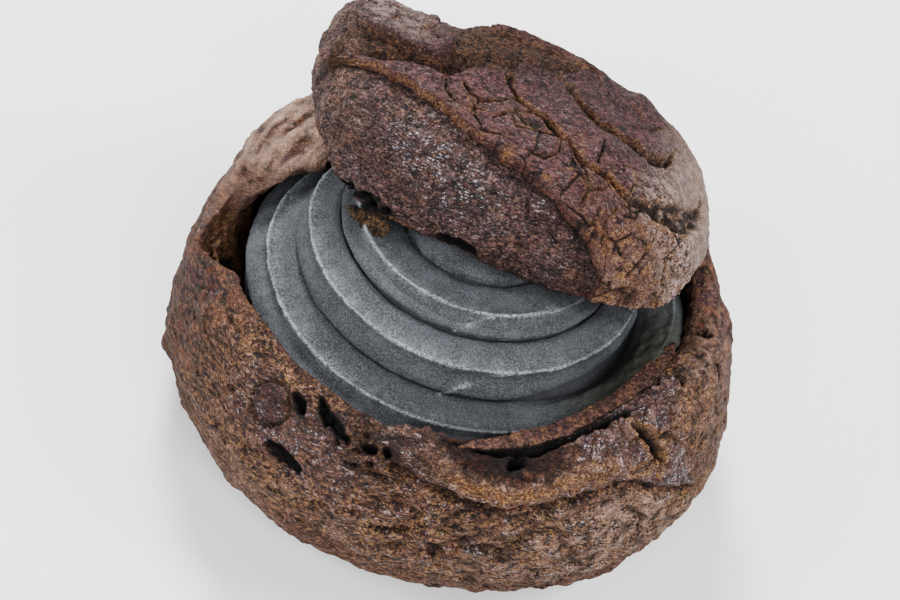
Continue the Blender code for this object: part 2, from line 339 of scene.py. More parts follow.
@dataclass
class Skin:
    """A closed form as a grid of points, with what its finish needs to know."""

    points: Array  # columns, rings + 1, 3; millimetres
    paint: dict[Paint, Array] = field(default_factory=dict)

    def build(self, name: str, slot: str, finish: "Finish", *nodes: str) -> bpy.types.Object:
        """Make the object and tie it to the frame.

        Args:
            name: Name of the piece.
            slot: Material slot of the record; not used.
            finish: What it is dressed in.
            nodes: Solids that it stands for.

        Returns:
            The finished object.
        """
        columns, rings = self.points.shape[0], self.points.shape[1] - 1
        bm = bmesh.new()
        bmesh.ops.create_grid(bm, x_segments=columns, y_segments=rings, size=1.0)
        for vert in bm.verts:
            turn, rise = math.pi * (vert.co.x + 1.0), 0.5 * math.pi * (vert.co.y + 1.0)
            vert.co = (math.sin(rise) * math.cos(turn), math.sin(rise) * math.sin(turn),
                       -math.cos(rise))
        bmesh.ops.remove_doubles(bm, verts=bm.verts[:], dist=1e-5)
        mesh = bpy.data.meshes.new(name)
        bm.to_mesh(mesh)
        bm.free()
        where = np.empty(len(mesh.vertices) * 3)
        mesh.vertices.foreach_get("co", where)
        where = where.reshape(-1, 3)
        ring = np.rint(np.arccos(np.clip(-where[:, 2], -1.0, 1.0)) / np.pi * rings).astype(int)
        turn = np.arctan2(where[:, 1], where[:, 0]) / (2.0 * np.pi) % 1.0
        column = np.rint(turn * columns).astype(int) % columns
        ends = (ring == 0) | (ring == rings)
        column[ends] = 0
        mesh.vertices.foreach_set("co", (self.points[column, ring] * MM).ravel())
        for kind in Paint:
            values = self.paint.get(kind)
            layer = mesh.attributes.new(kind.value, "FLOAT", "POINT")
            if values is not None:
                layer.data.foreach_set("value", np.clip(values, 0.0, 1.0)[column, ring])
        mesh.update()
        mesh.shade_smooth()
        piece = placed(name, mesh)
        piece.data.materials.append(finish.material())
        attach(piece, "root")
        if nodes:
            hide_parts(*nodes)
        return piece


# Shader helpers


def linear(red: int, green: int, blue: int) -> Colour:
    """Return a screen colour, 0 to 255, as linear light."""
    return tuple(((c / 255.0 + 0.055) / 1.055) ** 2.4 if c > 10 else c / 3294.6
                 for c in (red, green, blue))


class Wire:
    """A socket that can stand in a Python expression."""

    def __init__(self, recipe: "Recipe", socket: bpy.types.NodeSocket) -> None:
        """Keep the socket and the recipe it belongs to."""
        self.recipe = recipe
        self.socket = socket

    def _maths(self, operation: str, first: Any, second: Any) -> "Wire":
        """Return the result of one Math node."""
        return self.recipe.node("ShaderNodeMath", {"operation": operation},
                                {0: first, 1: second})[0]

    def __add__(self, other: Any) -> "Wire":
        """Return self + other."""
        return self._maths("ADD", self, other)

    __radd__ = __add__

    def __sub__(self, other: Any) -> "Wire":
        """Return self - other."""
        return self._maths("SUBTRACT", self, other)

    def __rsub__(self, other: Any) -> "Wire":
        """Return other - self."""
        return self._maths("SUBTRACT", other, self)

    def __mul__(self, other: Any) -> "Wire":
        """Return self * other."""
        return self._maths("MULTIPLY", self, other)

    __rmul__ = __mul__

    def most(self, other: Any) -> "Wire":
        """Return the larger of the two."""
        return self._maths("MAXIMUM", self, other)

    def eased(self, low: float, high: float) -> "Wire":
        """Return self eased from 0 at low to 1 at high."""
        return self.recipe.node("ShaderNodeMapRange", {"interpolation_type": "SMOOTHSTEP"},
                                {"Value": self, "From Min": low, "From Max": high})[0]


class Recipe:
    """The nodes of one material."""

    def __init__(self, name: str) -> None:
        """Start a material with its shader."""
        self.material = bpy.data.materials.new(name)
        self.material.use_nodes = True
        self.tree = self.material.node_tree
        self.shader = self.tree.nodes["Principled BSDF"]
        self.place = self.node("ShaderNodeTexCoord", {}, {})["Object"]

    def node(self, kind: str, settings: dict[str, Any], values: dict[Any, Any]) -> Any:
        """Add a node.

        Args:
            kind: Type of the node.
            settings: Its own settings, set first.
            values: Numbers, colours or wires for its inputs, by name or place.

        Returns:
            Its outputs, by name or place, as wires.
        """
        made = self.tree.nodes.new(kind)
        for key, value in settings.items():
            setattr(made, key, value)
        for key, value in values.items():
            self.feed(made.inputs[key], value)
        return {key: Wire(self, out) for i, out in enumerate(made.outputs)
                for key in (i, out.name) if out.enabled}

    def feed(self, socket: bpy.types.NodeSocket, value: Any) -> None:
        """Link a wire to an input, or set the input's value."""
        if isinstance(value, Wire):
            self.tree.links.new(value.socket, socket)
        elif isinstance(value, tuple) and len(value) == 3 and socket.type == "RGBA":
            socket.default_value = (*value, 1.0)
        else:
            socket.default_value = value

    def paint(self, kind: Paint) -> Wire:
        """Return what the skin says of this point."""
        return self.node("ShaderNodeAttribute", {"attribute_name": kind.value}, {})["Fac"]

    def stretched(self, stretch: Point) -> Wire:
        """Return places stretched along each axis."""
        return self.node("ShaderNodeMapping", {}, {"Vector": self.place, "Scale": stretch})[0]

    def grain(self, size: float, detail: float = 3.0, rough: float = 0.6,
              stretch: Point = (1.0, 1.0, 1.0), warp: float = 0.0) -> Wire:
        """Return noise of a lump size in millimetres, about 0.2 to 0.8."""
        return self.node("ShaderNodeTexNoise", {}, {
            "Vector": self.stretched(stretch), "Scale": 1.0 / (size * MM), "Detail": detail,
            "Roughness": rough, "Distortion": warp})[0]

    def wrinkles(self, size: float, stretch: Point) -> Wire:
        """Return noise with thin high lines, about 0.3 between them to 1.7 on them."""
        return self.node("ShaderNodeTexNoise", {"noise_type": "RIDGED_MULTIFRACTAL"}, {
            "Vector": self.stretched(stretch), "Scale": 1.0 / (size * MM), "Detail": 2.0,
            "Roughness": 0.5, "Offset": 1.0, "Gain": 2.0, "Distortion": 0.5})[0]

    def cracks(self, size: float, places: Wire) -> Wire:
        """Return the distance to the border of cells of a size in millimetres."""
        return self.node("ShaderNodeTexVoronoi", {"feature": "DISTANCE_TO_EDGE"},
                         {"Vector": places, "Scale": 1.0 / (size * MM)})[0]

    def shaken(self, size: float, reach: float) -> Wire:
        """Return places moved about by noise, so that a pattern on them wanders."""
        wobble = self.node("ShaderNodeTexNoise", {}, {
            "Vector": self.place, "Scale": 1.0 / (size * MM), "Detail": 2.0})["Color"]
        return self.node("ShaderNodeVectorMath", {"operation": "MULTIPLY_ADD"},
                         {0: wobble, 1: (reach * MM,) * 3, 2: self.place})[0]

    def mix(self, share: Any, first: Any, second: Any) -> Wire:
        """Return two colours mixed, share of the second."""
        return self.node("ShaderNodeMix", {"data_type": "RGBA"},
                         {0: share, 6: first, 7: second})[2]

    def over(self, colour: Wire, *layers: tuple[Any, Any]) -> Wire:
        """Return a colour with layers laid over it: share and colour of each."""
        for share, layer in layers:
            colour = self.mix(share, colour, layer)
        return colour

    def dress(self, colour: Wire, roughness: Wire, height: Wire, depth: float,
              constants: dict[str, float]) -> bpy.types.Material:
        """Feed the shader.

        Args:
            colour: Base colour.
            roughness: Roughness.
            height: Height of the fine relief, 0 to 1.
            depth: How deep that relief is, millimetres.
            constants: Values that are the same all over.

        Returns:
            The finished material.
        """
        normal = self.node("ShaderNodeBump", {}, {"Height": height, "Distance": depth * MM,
                                                  "Strength": 1.0})[0]
        self.feed(self.shader.inputs["Base Color"], colour)
        self.feed(self.shader.inputs["Roughness"], roughness)
        self.feed(self.shader.inputs["Normal"], normal)
        for key, value in constants.items():
            self.shader.inputs[key].default_value = value
        return self.material


# Finishes


class BakedGrain:
    """The noises and paints that the layers of a baked finish share."""

    def __init__(self, r: Recipe, stretch: Point) -> None:
        """Make them.

        Args:
            r: Material that they are for.
            stretch: How much finer the grain is along each axis.
        """
        self.soft = r.paint(Paint.SOFT)
        self.fine = 1 - 0.8 * self.soft
        self.broad = r.grain(6.0, 3.0, 0.55).eased(0.38, 0.62)
        self.zone = r.grain(4.5, 2.0, 0.5).eased(0.42, 0.58)
        self.patch = r.grain(1.6, 4.0, 0.65, stretch, 0.4)
        self.grit = r.grain(0.50, 3.0, 0.7, stretch)
        self.sand = r.grain(0.24, 2.0, 0.6, stretch)
        self.speck = r.grain(0.42, 2.0, 0.6)
        self.lumps = r.grain(0.95, 2.0, 0.55, stretch, 0.8)
        self.blots = r.grain(1.8, 2.0, 0.5, stretch, 1.2)
        self.veins = r.wrinkles(1.7, stretch)
        self.hairlines = r.wrinkles(0.75, stretch)
        self.pores = r.cracks(1.0, r.shaken(0.8, 0.6))
        self.hairs = (r.cracks(1.8, r.shaken(1.3, 1.4)).eased(0.08, 0.02)
                      * self.lumps.eased(0.46, 0.56))
        self.fleck = 0.6 * self.grit + 0.4 * self.sand
        self.dust = 0.5 * self.grit + 0.5 * self.sand


@dataclass(frozen=True)
class BakedFinish:
    """Dark choux with cracked sugar crust, rusty crumb in its breaks, black painted shade in its
    holes and creases, and painted highlight specks where it is glossy.
    """

    name: str
    dark: Colour = linear(17, 9, 11)
    middle: Colour = linear(86, 48, 34)
    plum: Colour = linear(59, 36, 47)
    light: Colour = linear(156, 114, 82)
    crust_dark: Colour = linear(30, 18, 21)
    crust_light: Colour = linear(68, 42, 42)
    # painted highlight on the crust's raised hairlines
    crust_painted_highlight: Colour = linear(134, 104, 100)
    rust: Colour = linear(88, 43, 26)
    gold: Colour = linear(170, 126, 68)
    red: Colour = linear(64, 29, 21)
    tan: Colour = linear(174, 142, 124)
    # painted highlight specks, laid into the colour in glossy places
    painted_highlight: Colour = linear(196, 186, 196)
    black: Colour = linear(6, 4, 5)
    stretch: Point = (1.0, 1.0, 1.0)

    def choux(self, r: Recipe, g: BakedGrain) -> Wire:
        """Return the colour of bare choux: dark and brown patches, pale and golden wrinkles,
        painted darker as shade in the lows of its fine relief and lighter as highlight on its
        highs.
        """
        return r.over(
            r.mix(g.patch.eased(0.42, 0.58), self.dark, r.mix(g.zone, self.middle, self.plum)),
            (g.broad * 0.55, r.mix(g.patch.eased(0.38, 0.58), self.dark, self.red)),
            (g.fleck.eased(0.50, 0.60) * (0.05 + 0.85 * g.patch) * g.fine, self.light),
            (g.veins.eased(1.28, 1.60) * (0.10 + 0.60 * g.grit) * g.fine, self.light),
            (g.hairlines.eased(1.22, 1.55) * (0.15 + 0.65 * g.patch) * g.fine,
             r.mix(g.broad * 0.7, self.light, self.gold)),
            (g.veins.eased(0.95, 0.55) * 0.8 * g.fine, self.dark),
            (g.hairlines.eased(0.95, 0.50) * 0.8 * g.fine, self.dark),
            (g.speck.eased(0.57, 0.65) * (0.18 + 0.5 * g.broad) * g.fine, self.gold),
            (g.fleck.eased(0.49, 0.42) * 0.85 * g.fine, self.dark),
            (g.lumps.eased(0.50, 0.64) * 0.18, self.light),
            (g.lumps.eased(0.45, 0.34) * 0.40, self.dark))

    def plate(self, r: Recipe, g: BakedGrain) -> Wire:
        """Return the colour of the sugar crust, painted darker as shade in the lows of its fine
        relief, with painted highlight on its raised hairlines.
        """
        tone = g.patch * 0.50 + g.grit * 0.30 + g.sand * 0.20
        return r.over(
            r.mix(tone.eased(0.42, 0.56), self.crust_dark, self.crust_light),
            (g.hairlines.eased(1.25, 1.60) * (0.12 + 0.40 * g.grit), self.crust_painted_highlight),
            (g.hairlines.eased(0.90, 0.50) * 0.8, self.crust_dark),
            (g.speck.eased(0.58, 0.66) * 0.6, self.rust),
            (g.hairs * 0.7, self.black))

    def crumbs(self, r: Recipe, g: BakedGrain) -> Wire:
        """Return the colour of open crumb."""
        return r.over(
            r.mix(g.dust.eased(0.45, 0.56), self.rust, self.gold),
            ((0.5 * g.patch + 0.5 * g.speck).eased(0.48, 0.57) * 0.85, self.dark))

    def material(self) -> bpy.types.Material:
        """Return the material."""
        r = Recipe(self.name)
        g = BakedGrain(r, self.stretch)
        # hollow carries the skin's painted shade
        crust, hollow = r.paint(Paint.CRUST), r.paint(Paint.PAINTED_SHADE)
        pale = (0.5 * g.patch + 0.5 * g.sand).eased(0.46, 0.56).most(0.7 * g.soft)
        gloss = r.paint(Paint.GLOSS_AND_PAINTED_HIGHLIGHT) * (0.12 + 0.88 * g.blots.eased(0.46, 0.58)) * (1 - hollow)
        skin = r.over(
            self.choux(r, g),
            (crust, self.plate(r, g)),
            (r.paint(Paint.CRUMB), self.crumbs(r, g)),
            (r.paint(Paint.RUST) * (0.5 + 0.5 * g.patch.eased(0.35, 0.6)),
             r.mix(g.dust.eased(0.44, 0.57), self.dark, self.rust)),
            (r.paint(Paint.PALE) * pale, self.tan),
            # painted shade in the pores
            (g.pores.eased(0.07, 0.0) * 0.5 * (1 - crust), self.dark),
            # painted shade: black where the skin is in shade
            (hollow, self.black),
            # a darker ground in glossy places, with painted highlight specks over it
            (gloss * (0.20 + 0.35 * g.patch.eased(0.55, 0.45)), self.dark),
            (gloss * (0.4 * g.sand + 0.6 * g.grit).eased(0.54, 0.62) * 0.8, self.painted_highlight))
        height = (0.26 * g.grit + 0.22 * g.patch + 0.16 * g.sand + 0.10 * g.hairlines
                  + (0.22 * g.lumps + 0.16 * g.veins) * (1 - crust)
                  + 0.20 * g.pores.eased(0.0, 0.25) - 0.25 * g.hairs * crust)
        r.feed(r.shader.inputs["Coat Weight"], 0.12 * gloss)
        return r.dress(skin, 0.72 + 0.22 * g.sand - 0.42 * gloss,
                       height * (1 - 0.35 * crust) * (1 - 0.45 * g.soft), 0.80,
                       {"Specular IOR Level": 0.16, "Coat Roughness": 0.22, "Coat IOR": 1.5})


@dataclass(frozen=True)
class CreamFinish:
    """Matte slate grey sesame cream, feathery on the crests of its rope, with painted highlight on
    the crests and painted shade in its folds.
    """

    shade: Colour = linear(42, 44, 48)
    body: Colour = linear(58, 60, 65)
    grain: Colour = linear(96, 100, 105)
    # crest: painted highlight on the rope's crests
    crest: Colour = linear(158, 164, 170)
    brown: Colour = linear(46, 38, 38)
    # olive: painted greenish reflected light, in shade, at the right
    olive: Colour = linear(44, 45, 28)
    fleck: Colour = linear(22, 22, 26)
    # black: painted shade
    black: Colour = linear(8, 10, 14)

    def material(self) -> bpy.types.Material:
        """Return the material."""
        r = Recipe("sesame_cream")
        cloud = r.grain(4.0, 3.0, 0.55)
        grit = r.grain(0.24, 2.0, 0.65)
        fluff = r.grain(0.55, 3.0, 0.75)
        skin = r.over(
            r.mix(cloud.eased(0.36, 0.64), self.shade, self.body),
            (grit.eased(0.48, 0.62) * 0.55, self.grain),
            (r.paint(Paint.RUST) * 0.6, self.brown),
            # painted highlight on the crests, their flanks, the lips and the branches
            (r.paint(Paint.PALE) * (0.12 + 0.88 * (0.5 * fluff + 0.5 * grit).eased(0.42, 0.56)),
             self.crest),
            # painted greenish reflected light at the right
            (r.paint(Paint.CRUMB) * (0.55 + 0.45 * fluff.eased(0.35, 0.6)), self.olive),
            (grit.eased(0.42, 0.33) * 0.7, self.fleck),
            # painted shade
            (r.paint(Paint.PAINTED_SHADE), self.black))
        return r.dress(skin, 0.62 + 0.3 * grit, 0.55 * grit + 0.45 * fluff, 0.20,
                       {"Specular IOR Level": 0.3})


# Choux bowl

# Half sections: azimuth, widest radius, crest radius, crest height, lip radius, inner wall radius
BOWL_SECTIONS = (
    (0.0, 47.4, 40.6, 31.8, 36.0, 36.0), (16.0, 46.2, 40.4, 32.3, 36.4, 36.4),
    (42.0, 45.2, 39.2, 31.0, 36.0, 35.8), (90.0, 45.0, 38.0, 29.4, 35.8, 35.6),
    (112.0, 45.0, 38.0, 30.2, 35.2, 35.6), (130.0, 45.0, 38.4, 32.6, 31.2, 35.8),
    (143.0, 45.0, 38.8, 33.8, 28.2, 36.2), (154.0, 44.8, 39.0, 34.2, 27.4, 36.6),
    (163.0, 44.6, 39.2, 34.4, 28.0, 37.2), (173.0, 43.6, 37.8, 33.9, 31.2, 37.2),
    (182.0, 43.8, 39.8, 29.4, 37.2, 38.4), (194.0, 45.2, 42.4, 27.0, 39.4, 39.0),
    (206.0, 45.7, 38.6, 29.6, 36.2, 36.4), (225.0, 46.1, 37.4, 31.0, 35.5, 35.6),
    (270.0, 46.7, 37.2, 31.0, 35.5, 35.6), (295.0, 47.6, 37.8, 31.6, 34.4, 35.4),
    (318.0, 48.3, 37.3, 32.4, 33.4, 35.2), (338.0, 48.3, 37.8, 32.6, 34.0, 35.4),
)
# Cavity that the cream fills, from the middle out: radius, height
CAVITY = ((0.0, 6.8), (10.0, 7.1), (20.0, 8.8), (28.5, 13.0), (33.2, 18.6), (35.6, 23.4))

# Holes baked into the bowl: azimuth, height, half length, half width, slant, depth
BOWL_HOLES = (
    (255.6, 28.6, 0.6, 0.45, -40.0, 2.0), (257.3, 29.3, 0.9, 0.5, -50.0, 2.0),
    (260.3, 28.8, 0.7, 0.4, 10.0, 1.8), (260.8, 27.0, 0.7, 0.4, 0.0, 1.6),
    (262.6, 29.5, 1.2, 0.85, 20.0, 3.0), (265.9, 29.8, 0.95, 0.6, -40.0, 2.6),
    (263.6, 27.8, 0.8, 0.45, -30.0, 1.6), (260.6, 30.4, 0.6, 0.4, 0.0, 1.2),
    (268.2, 29.0, 0.6, 0.5, 0.0, 1.6), (270.1, 20.6, 1.9, 0.45, 5.0, 1.0),
    (273.4, 21.2, 1.4, 0.55, 10.0, 1.2), (264.5, 21.5, 1.0, 0.5, 0.0, 0.8),
    (273.3, 18.0, 1.4, 0.8, 0.0, 0.9), (280.6, 19.1, 1.3, 1.2, 0.0, 1.7),
    (249.6, 17.4, 2.7, 0.45, 8.0, 0.7), (266.4, 16.8, 1.2, 0.5, 0.0, 0.7),
    (257.9, 20.0, 1.6, 0.5, 15.0, 0.8), (299.6, 16.3, 2.4, 0.6, 8.0, 1.0),
    (288.0, 15.4, 1.3, 0.5, 0.0, 0.9), (292.0, 19.4, 1.8, 0.5, 12.0, 0.7),
    (293.5, 31.2, 1.5, 0.9, 10.0, 3.0), (343.8, 32.6, 0.7, 1.3, 0.0, 2.4),
    (349.0, 27.0, 0.6, 2.0, 10.0, 2.2), (354.0, 30.4, 0.6, 1.4, -8.0, 2.2),
    (0.5, 32.0, 0.8, 1.7, 0.0, 2.4), (357.0, 23.0, 0.6, 2.3, 6.0, 1.8),
    (8.0, 27.0, 0.7, 2.3, 0.0, 1.8), (15.0, 30.0, 0.9, 1.6, 0.0, 2.0),
    (230.0, 24.5, 1.0, 0.6, 20.0, 0.8), (221.0, 21.0, 1.4, 0.5, 10.0, 0.7),
    (236.0, 18.0, 1.8, 0.5, 12.0, 0.7), (60.0, 22.0, 2.4, 0.8, 5.0, 1.6),
    (110.0, 19.0, 1.6, 0.7, 0.0, 1.3), (150.0, 24.0, 2.0, 0.6, -10.0, 1.3),
    (85.0, 27.0, 1.2, 0.9, 30.0, 1.5),
)
# Holes of the torn inner wall at the left
WALL_HOLES = ((187.5, 23.4, 1.6, 1.0, 20.0, 2.4), (192.5, 20.6, 2.6, 2.0, -30.0, 3.4),
              (196.5, 24.2, 1.3, 0.8, 0.0, 1.8), (183.0, 25.4, 1.3, 0.8, 30.0, 1.6))
# Fissures in the bowl: route of azimuth, height and half width, depth, raggedness
BOWL_FISSURES = (
    (((248.0, 30.8, 0.3), (249.8, 30.4, 0.75), (251.6, 29.9, 0.7), (252.3, 29.5, 0.3)), 2.4, 0.5),
    (((252.2, 30.4, 0.3), (253.6, 30.0, 0.75), (255.2, 29.6, 0.65), (256.4, 29.2, 0.2)), 2.4, 0.5),
    (((247.2, 31.2, 0.3), (251.8, 29.0, 0.9), (256.8, 28.4, 1.1), (262.0, 27.4, 0.6)), 0.6, 1.6),
    (((243.0, 29.9, 0.4), (244.8, 29.7, 0.8), (246.3, 29.3, 0.45)), 2.6, 0.6),
    (((243.9, 23.2, 0.65), (246.7, 23.2, 0.95), (248.8, 23.0, 0.9), (251.2, 22.8, 0.6)),
     2.6, 0.12),
    (((259.0, 26.8, 0.1), (262.4, 27.0, 0.3), (266.0, 27.2, 0.35), (270.4, 27.2, 0.15)), 1.2, 0.6),
    (((234.0, 27.4, 0.1), (236.4, 24.6, 0.3), (241.0, 24.2, 0.2)), 0.8, 0.6),
    (((305.0, 13.4, 0.1), (310.0, 13.8, 0.4), (315.0, 15.6, 0.3), (319.0, 15.0, 0.1)), 1.1, 0.7),
    (((318.0, 23.6, 0.1), (321.0, 21.6, 0.4), (320.4, 19.6, 0.2)), 1.1, 0.7),
    (((330.0, 17.6, 0.1), (334.0, 16.4, 0.35), (339.0, 16.8, 0.15)), 1.0, 0.7),
    (((212.0, 27.0, 0.1), (216.0, 25.4, 0.3), (221.0, 25.6, 0.1)), 0.6, 0.6),
    (((284.0, 20.6, 0.1), (288.0, 21.4, 0.35), (292.0, 21.0, 0.3), (296.0, 22.0, 0.1)), 1.1, 0.8),
    (((296.0, 12.0, 0.1), (301.0, 11.4, 0.3), (306.0, 11.6, 0.1)), 1.0, 0.7),
    (((252.0, 14.0, 0.1), (257.0, 14.6, 0.3), (262.0, 14.2, 0.1)), 0.9, 0.7),
)
# Lower edge of the sugar crust on the bowl: azimuth, height
CRUST_FOOT = ((240.0, 31.6), (255.0, 30.6), (265.0, 29.7), (272.0, 29.0), (278.0, 28.3),
              (285.0, 27.4), (292.0, 27.0), (300.0, 27.5), (308.0, 28.4), (316.0, 28.2),
              (321.0, 27.0), (326.0, 24.6), (331.0, 22.4), (337.0, 19.9), (360.0, 19.0))
# Right end of that crust: height, azimuth
CRUST_END = ((19.0, 338.0), (26.0, 335.0), (30.4, 334.0), (31.6, 338.0), (33.4, 348.0))
# The deep cleft at the crust's right and the thin cracks that run off it, as for the fissures
CRUST_CLEFT = ((323.9, 32.2, 0.3), (325.8, 31.4, 0.8), (327.0, 29.8, 0.95), (328.0, 27.8, 0.6),
               (326.6, 26.2, 0.2))
CLEFT_TAILS = (((327.6, 28.6, 0.35), (323.5, 28.0, 0.25), (319.0, 28.6, 0.05)),
               ((328.4, 30.6, 0.2), (332.0, 30.2, 0.25), (336.4, 30.6, 0.05)))
# Grooves round the burst blister: radius, depth
BLISTER_RINGS = ((1.2, 0.35), (2.2, 0.5), (3.3, 1.0))
# Stations along the bowl's half section: end of the foot, and what each wall spans
FOOT_END = 2.0
OUTER_WALL = (3.0, 11.5)
INNER_WALL = (11.5, 17.0)
MM_PER_DEGREE = 0.8  # along the wall


@dataclass
class ChouxBowl:
    """The bun's lower half: flat foot, bumpy wall, crust at the front right, torn rim, cavity."""

    columns: int = 556
    foot: float = 28.5
    widest: float = 16.0
    swell: float = 0.85
    wave: float = 11.0
    rings: tuple[int, ...] = (1, 2, 4, 8, 12, 18, 13, 20, 16, 14, 14, 10, 8, 10, 8, 10, 6, 2, 2, 2)

    def sections(self, azimuth: Array) -> Array:
        """Return the section sizes at each azimuth, eased between the named ones."""
        rows = np.array(BOWL_SECTIONS)
        i = np.searchsorted(rows[:, 0], azimuth % 360.0, side="right") - 1
        after = (i + 1) % len(rows)
        f = ((azimuth - rows[i, 0]) / ((rows[after, 0] - rows[i, 0]) % 360.0))[:, None]
        return rows[i, 1:] + (rows[after, 1:] - rows[i, 1:]) * f * f * (3.0 - 2.0 * f)

    def outlines(self, azimuth: Array) -> Array:
        """Return the half section at each azimuth: foot, wall, rim, inner wall, floor."""
        wide, rim_r, rim_z, lip_r, wall_r = self.sections(azimuth).T
        curl = ramp(wall_r - lip_r, 1.0, 5.0)
        flat = np.zeros_like(wide)
        low = 20.4
        pairs = [(flat, flat), (flat + 0.5 * self.foot, flat), (flat + self.foot, flat),
                 (flat + self.foot + 7.2, flat + 1.5), (wide - 4.4, flat + 5.0),
                 (wide - 1.2, flat + 9.6), (wide, flat + self.widest), (wide - 0.8, flat + low),
                 (0.62 * wide + 0.38 * rim_r, 0.45 * low + 0.55 * rim_z - 0.6),
                 (0.3 * wide + 0.7 * rim_r + 0.5, 0.18 * low + 0.82 * rim_z), (rim_r, rim_z),
                 (0.45 * rim_r + 0.55 * lip_r, rim_z + 0.2), (lip_r, rim_z - 0.9),
                 (lip_r + 0.15 + 2.0 * curl, rim_z - 3.0),
                 (0.4 * lip_r + 0.6 * wall_r + 0.2, 26.2 + 0.8 * curl)]
        for i, (r, z) in enumerate(reversed(CAVITY)):
            r = wall_r if i == 0 else flat + r
            r = r + 0.4 * (wall_r - CAVITY[-1][0]) if i == 1 else r
            pairs.append((r, flat + z))
        return np.stack([np.stack(p, -1) for p in pairs], 1)

    def __post_init__(self) -> None:
        """Lay out the smooth form that the relief stands on."""
        self.azimuth = fan(self.columns, 276.0, 84.0, 2.5)
        self.t = spread(self.rings)  # station of each ring, counted in the points of outlines
        half = spline_rows(self.outlines(self.azimuth), self.t)
        self.radius = half[..., 0]
        self.az = np.broadcast_to(self.azimuth[:, None], self.radius.shape)
        self.points = round_points(self.az, self.radius, self.on_foot(half[..., 1]))
        self.z = self.points[..., 2]
        self.normals = outward(self.points)
        self.outer = ramp(self.t, 2.6, 4.4) * fade(self.t, 11.0, 12.4)
        self.wander = rough(self.points, (0.5, 2.6, 5), (0.3, 1.0, 6))
        self.jag = ripple(self.points, 1.1, 51)

    def on_foot(self, height: Array) -> Array:
        """Return heights with the foot flat and nothing below it."""
        return np.where(self.t <= FOOT_END, 0.0, np.maximum(height, 0.0))

    def spot(self, azimuth: float, height: float, span: Span = OUTER_WALL) -> tuple[int, int]:
        """Return column and ring, within a span of stations, nearest to a place."""
        turned = np.degrees(np.arctan2(self.points[..., 1], self.points[..., 0])) % 360.0
        off = np.abs((turned - azimuth + 180.0) % 360.0 - 180.0) * MM_PER_DEGREE
        barred = (self.t <= span[0]) | (self.t >= span[1])
        miss = off + np.abs(self.z - height) + np.where(barred, FAR, 0.0)
        return np.unravel_index(int(np.argmin(miss)), miss.shape)

    def along(self, route: Sequence[Point]) -> Array:
        """Return the distance to a route of azimuths, heights and half widths on the wall."""
        return beside(self.points, [(*self.points[self.spot(a, h)], half)
                                    for a, h, half in route])

    def dent(self, hole: Sequence[float], span: Span) -> Array:
        """Return how far inside a hole each point is, 0 outside to 1 at its middle."""
        azimuth, height, long, wide, slant = hole[:5]
        c, k = self.spot(azimuth, height, span)
        normal = self.normals[c, k]
        across = self.points[(c + 1) % self.columns, k] - self.points[c - 1, k]
        across /= np.linalg.norm(across)
        off = self.points - self.points[c, k]
        a, b = off @ across, off @ np.cross(normal, across)
        s = math.radians(slant)
        a, b = a * math.cos(s) + b * math.sin(s), b * math.cos(s) - a * math.sin(s)
        reach = (a / long) ** 2 + (b / wide) ** 2 + 0.55 * self.jag
        return np.where(np.abs(off @ normal) < 4.0, np.clip(1.15 - reach, 0.0, 1.0), 0.0)

    @cached_property
    def slit(self) -> Array:
        """The gap behind the crest, under the flake, painted black as shade."""
        return bump(self.az, 301.0, 26.0) ** 0.5 * ramp(
            0.42 + 0.36 * bump(self.az, 295.0, 17.0) + 0.24 * ripple(self.points, 1.9, 4)
            - np.abs(self.t - 10.74), 0.0, 0.3)

    @cached_property
    def crust_foot(self) -> Array:
        """Height of the crust's lower edge."""
        return np.interp(self.az % 360.0, *zip(*CRUST_FOOT))

    @cached_property
    def above(self) -> Array:
        """Height above the crust's lower edge."""
        return self.z - self.crust_foot + 0.8 * self.wander

    @cached_property
    def right_end(self) -> Array:
        """Azimuth at which the crust ends at the right."""
        return np.interp(self.z, *zip(*CRUST_END))

    @cached_property
    def side(self) -> Array:
        """Azimuths that have crust."""
        return ramp(self.az, 254.0, 272.0) * fade(
            self.az + 2.5 * self.wander, self.right_end - 1.6, self.right_end + 1.6)

    @cached_property
    def crust(self) -> Array:
        """The sugar crust."""
        return self.side * ramp(self.above, -0.12, 0.25) * (self.t < 11.6)

    @cached_property
    def ridge(self) -> Array:
        """The roll along the crust's lower edge."""
        return self.side * bump(self.az, 292.0, 36.0) ** 0.6 * bell(self.above - 1.5, 1.1)

    @cached_property
    def scorch(self) -> Array:
        """The scorched face behind the roll."""
        return self.side * ramp(self.above, 2.2, 3.2) * fade(
            self.az + 6.0 * self.wander, 302.0, 310.0)

    @cached_property
    def crumple(self) -> Array:
        """Upright crumpling of the crust."""
        return crinkle(self.points, (1.5, 1.5, 4.0), 14)

    @cached_property
    def crust_plates(self) -> tuple[Array, Array]:
        """Cracks of the crust, and one number for each plate between them."""
        border, _, plate = plates(self.points + 0.9 * self.wander[..., None], 3.2, 11)
        crack = self.crust * (1.0 - self.scorch) * ramp(0.075 - border, 0.0, 0.06)
        return crack * ramp(self.above, 2.2, 3.4), plate

    @cached_property
    def cleft(self) -> tuple[Array, Array]:
        """The deep cleft at the crust's right, and its crumbly edges."""
        routes = [self.along(route) for route in (CRUST_CLEFT, *CLEFT_TAILS)]
        off = np.minimum.reduce(routes) + 0.5 * self.wander
        gap = ramp(0.15 - off, 0.0, 0.4)
        return gap, ramp(1.3 - off, 0.0, 1.0) * (1.0 - gap)

    @cached_property
    def bare(self) -> Array:
        """Outer wall without crust."""
        return self.outer * (1.0 - 0.9 * self.crust)

    @cached_property
    def flattened(self) -> Array:
        """Places for patterns that lie along the wall."""
        return self.points * np.array([0.66, 0.66, 1.4])

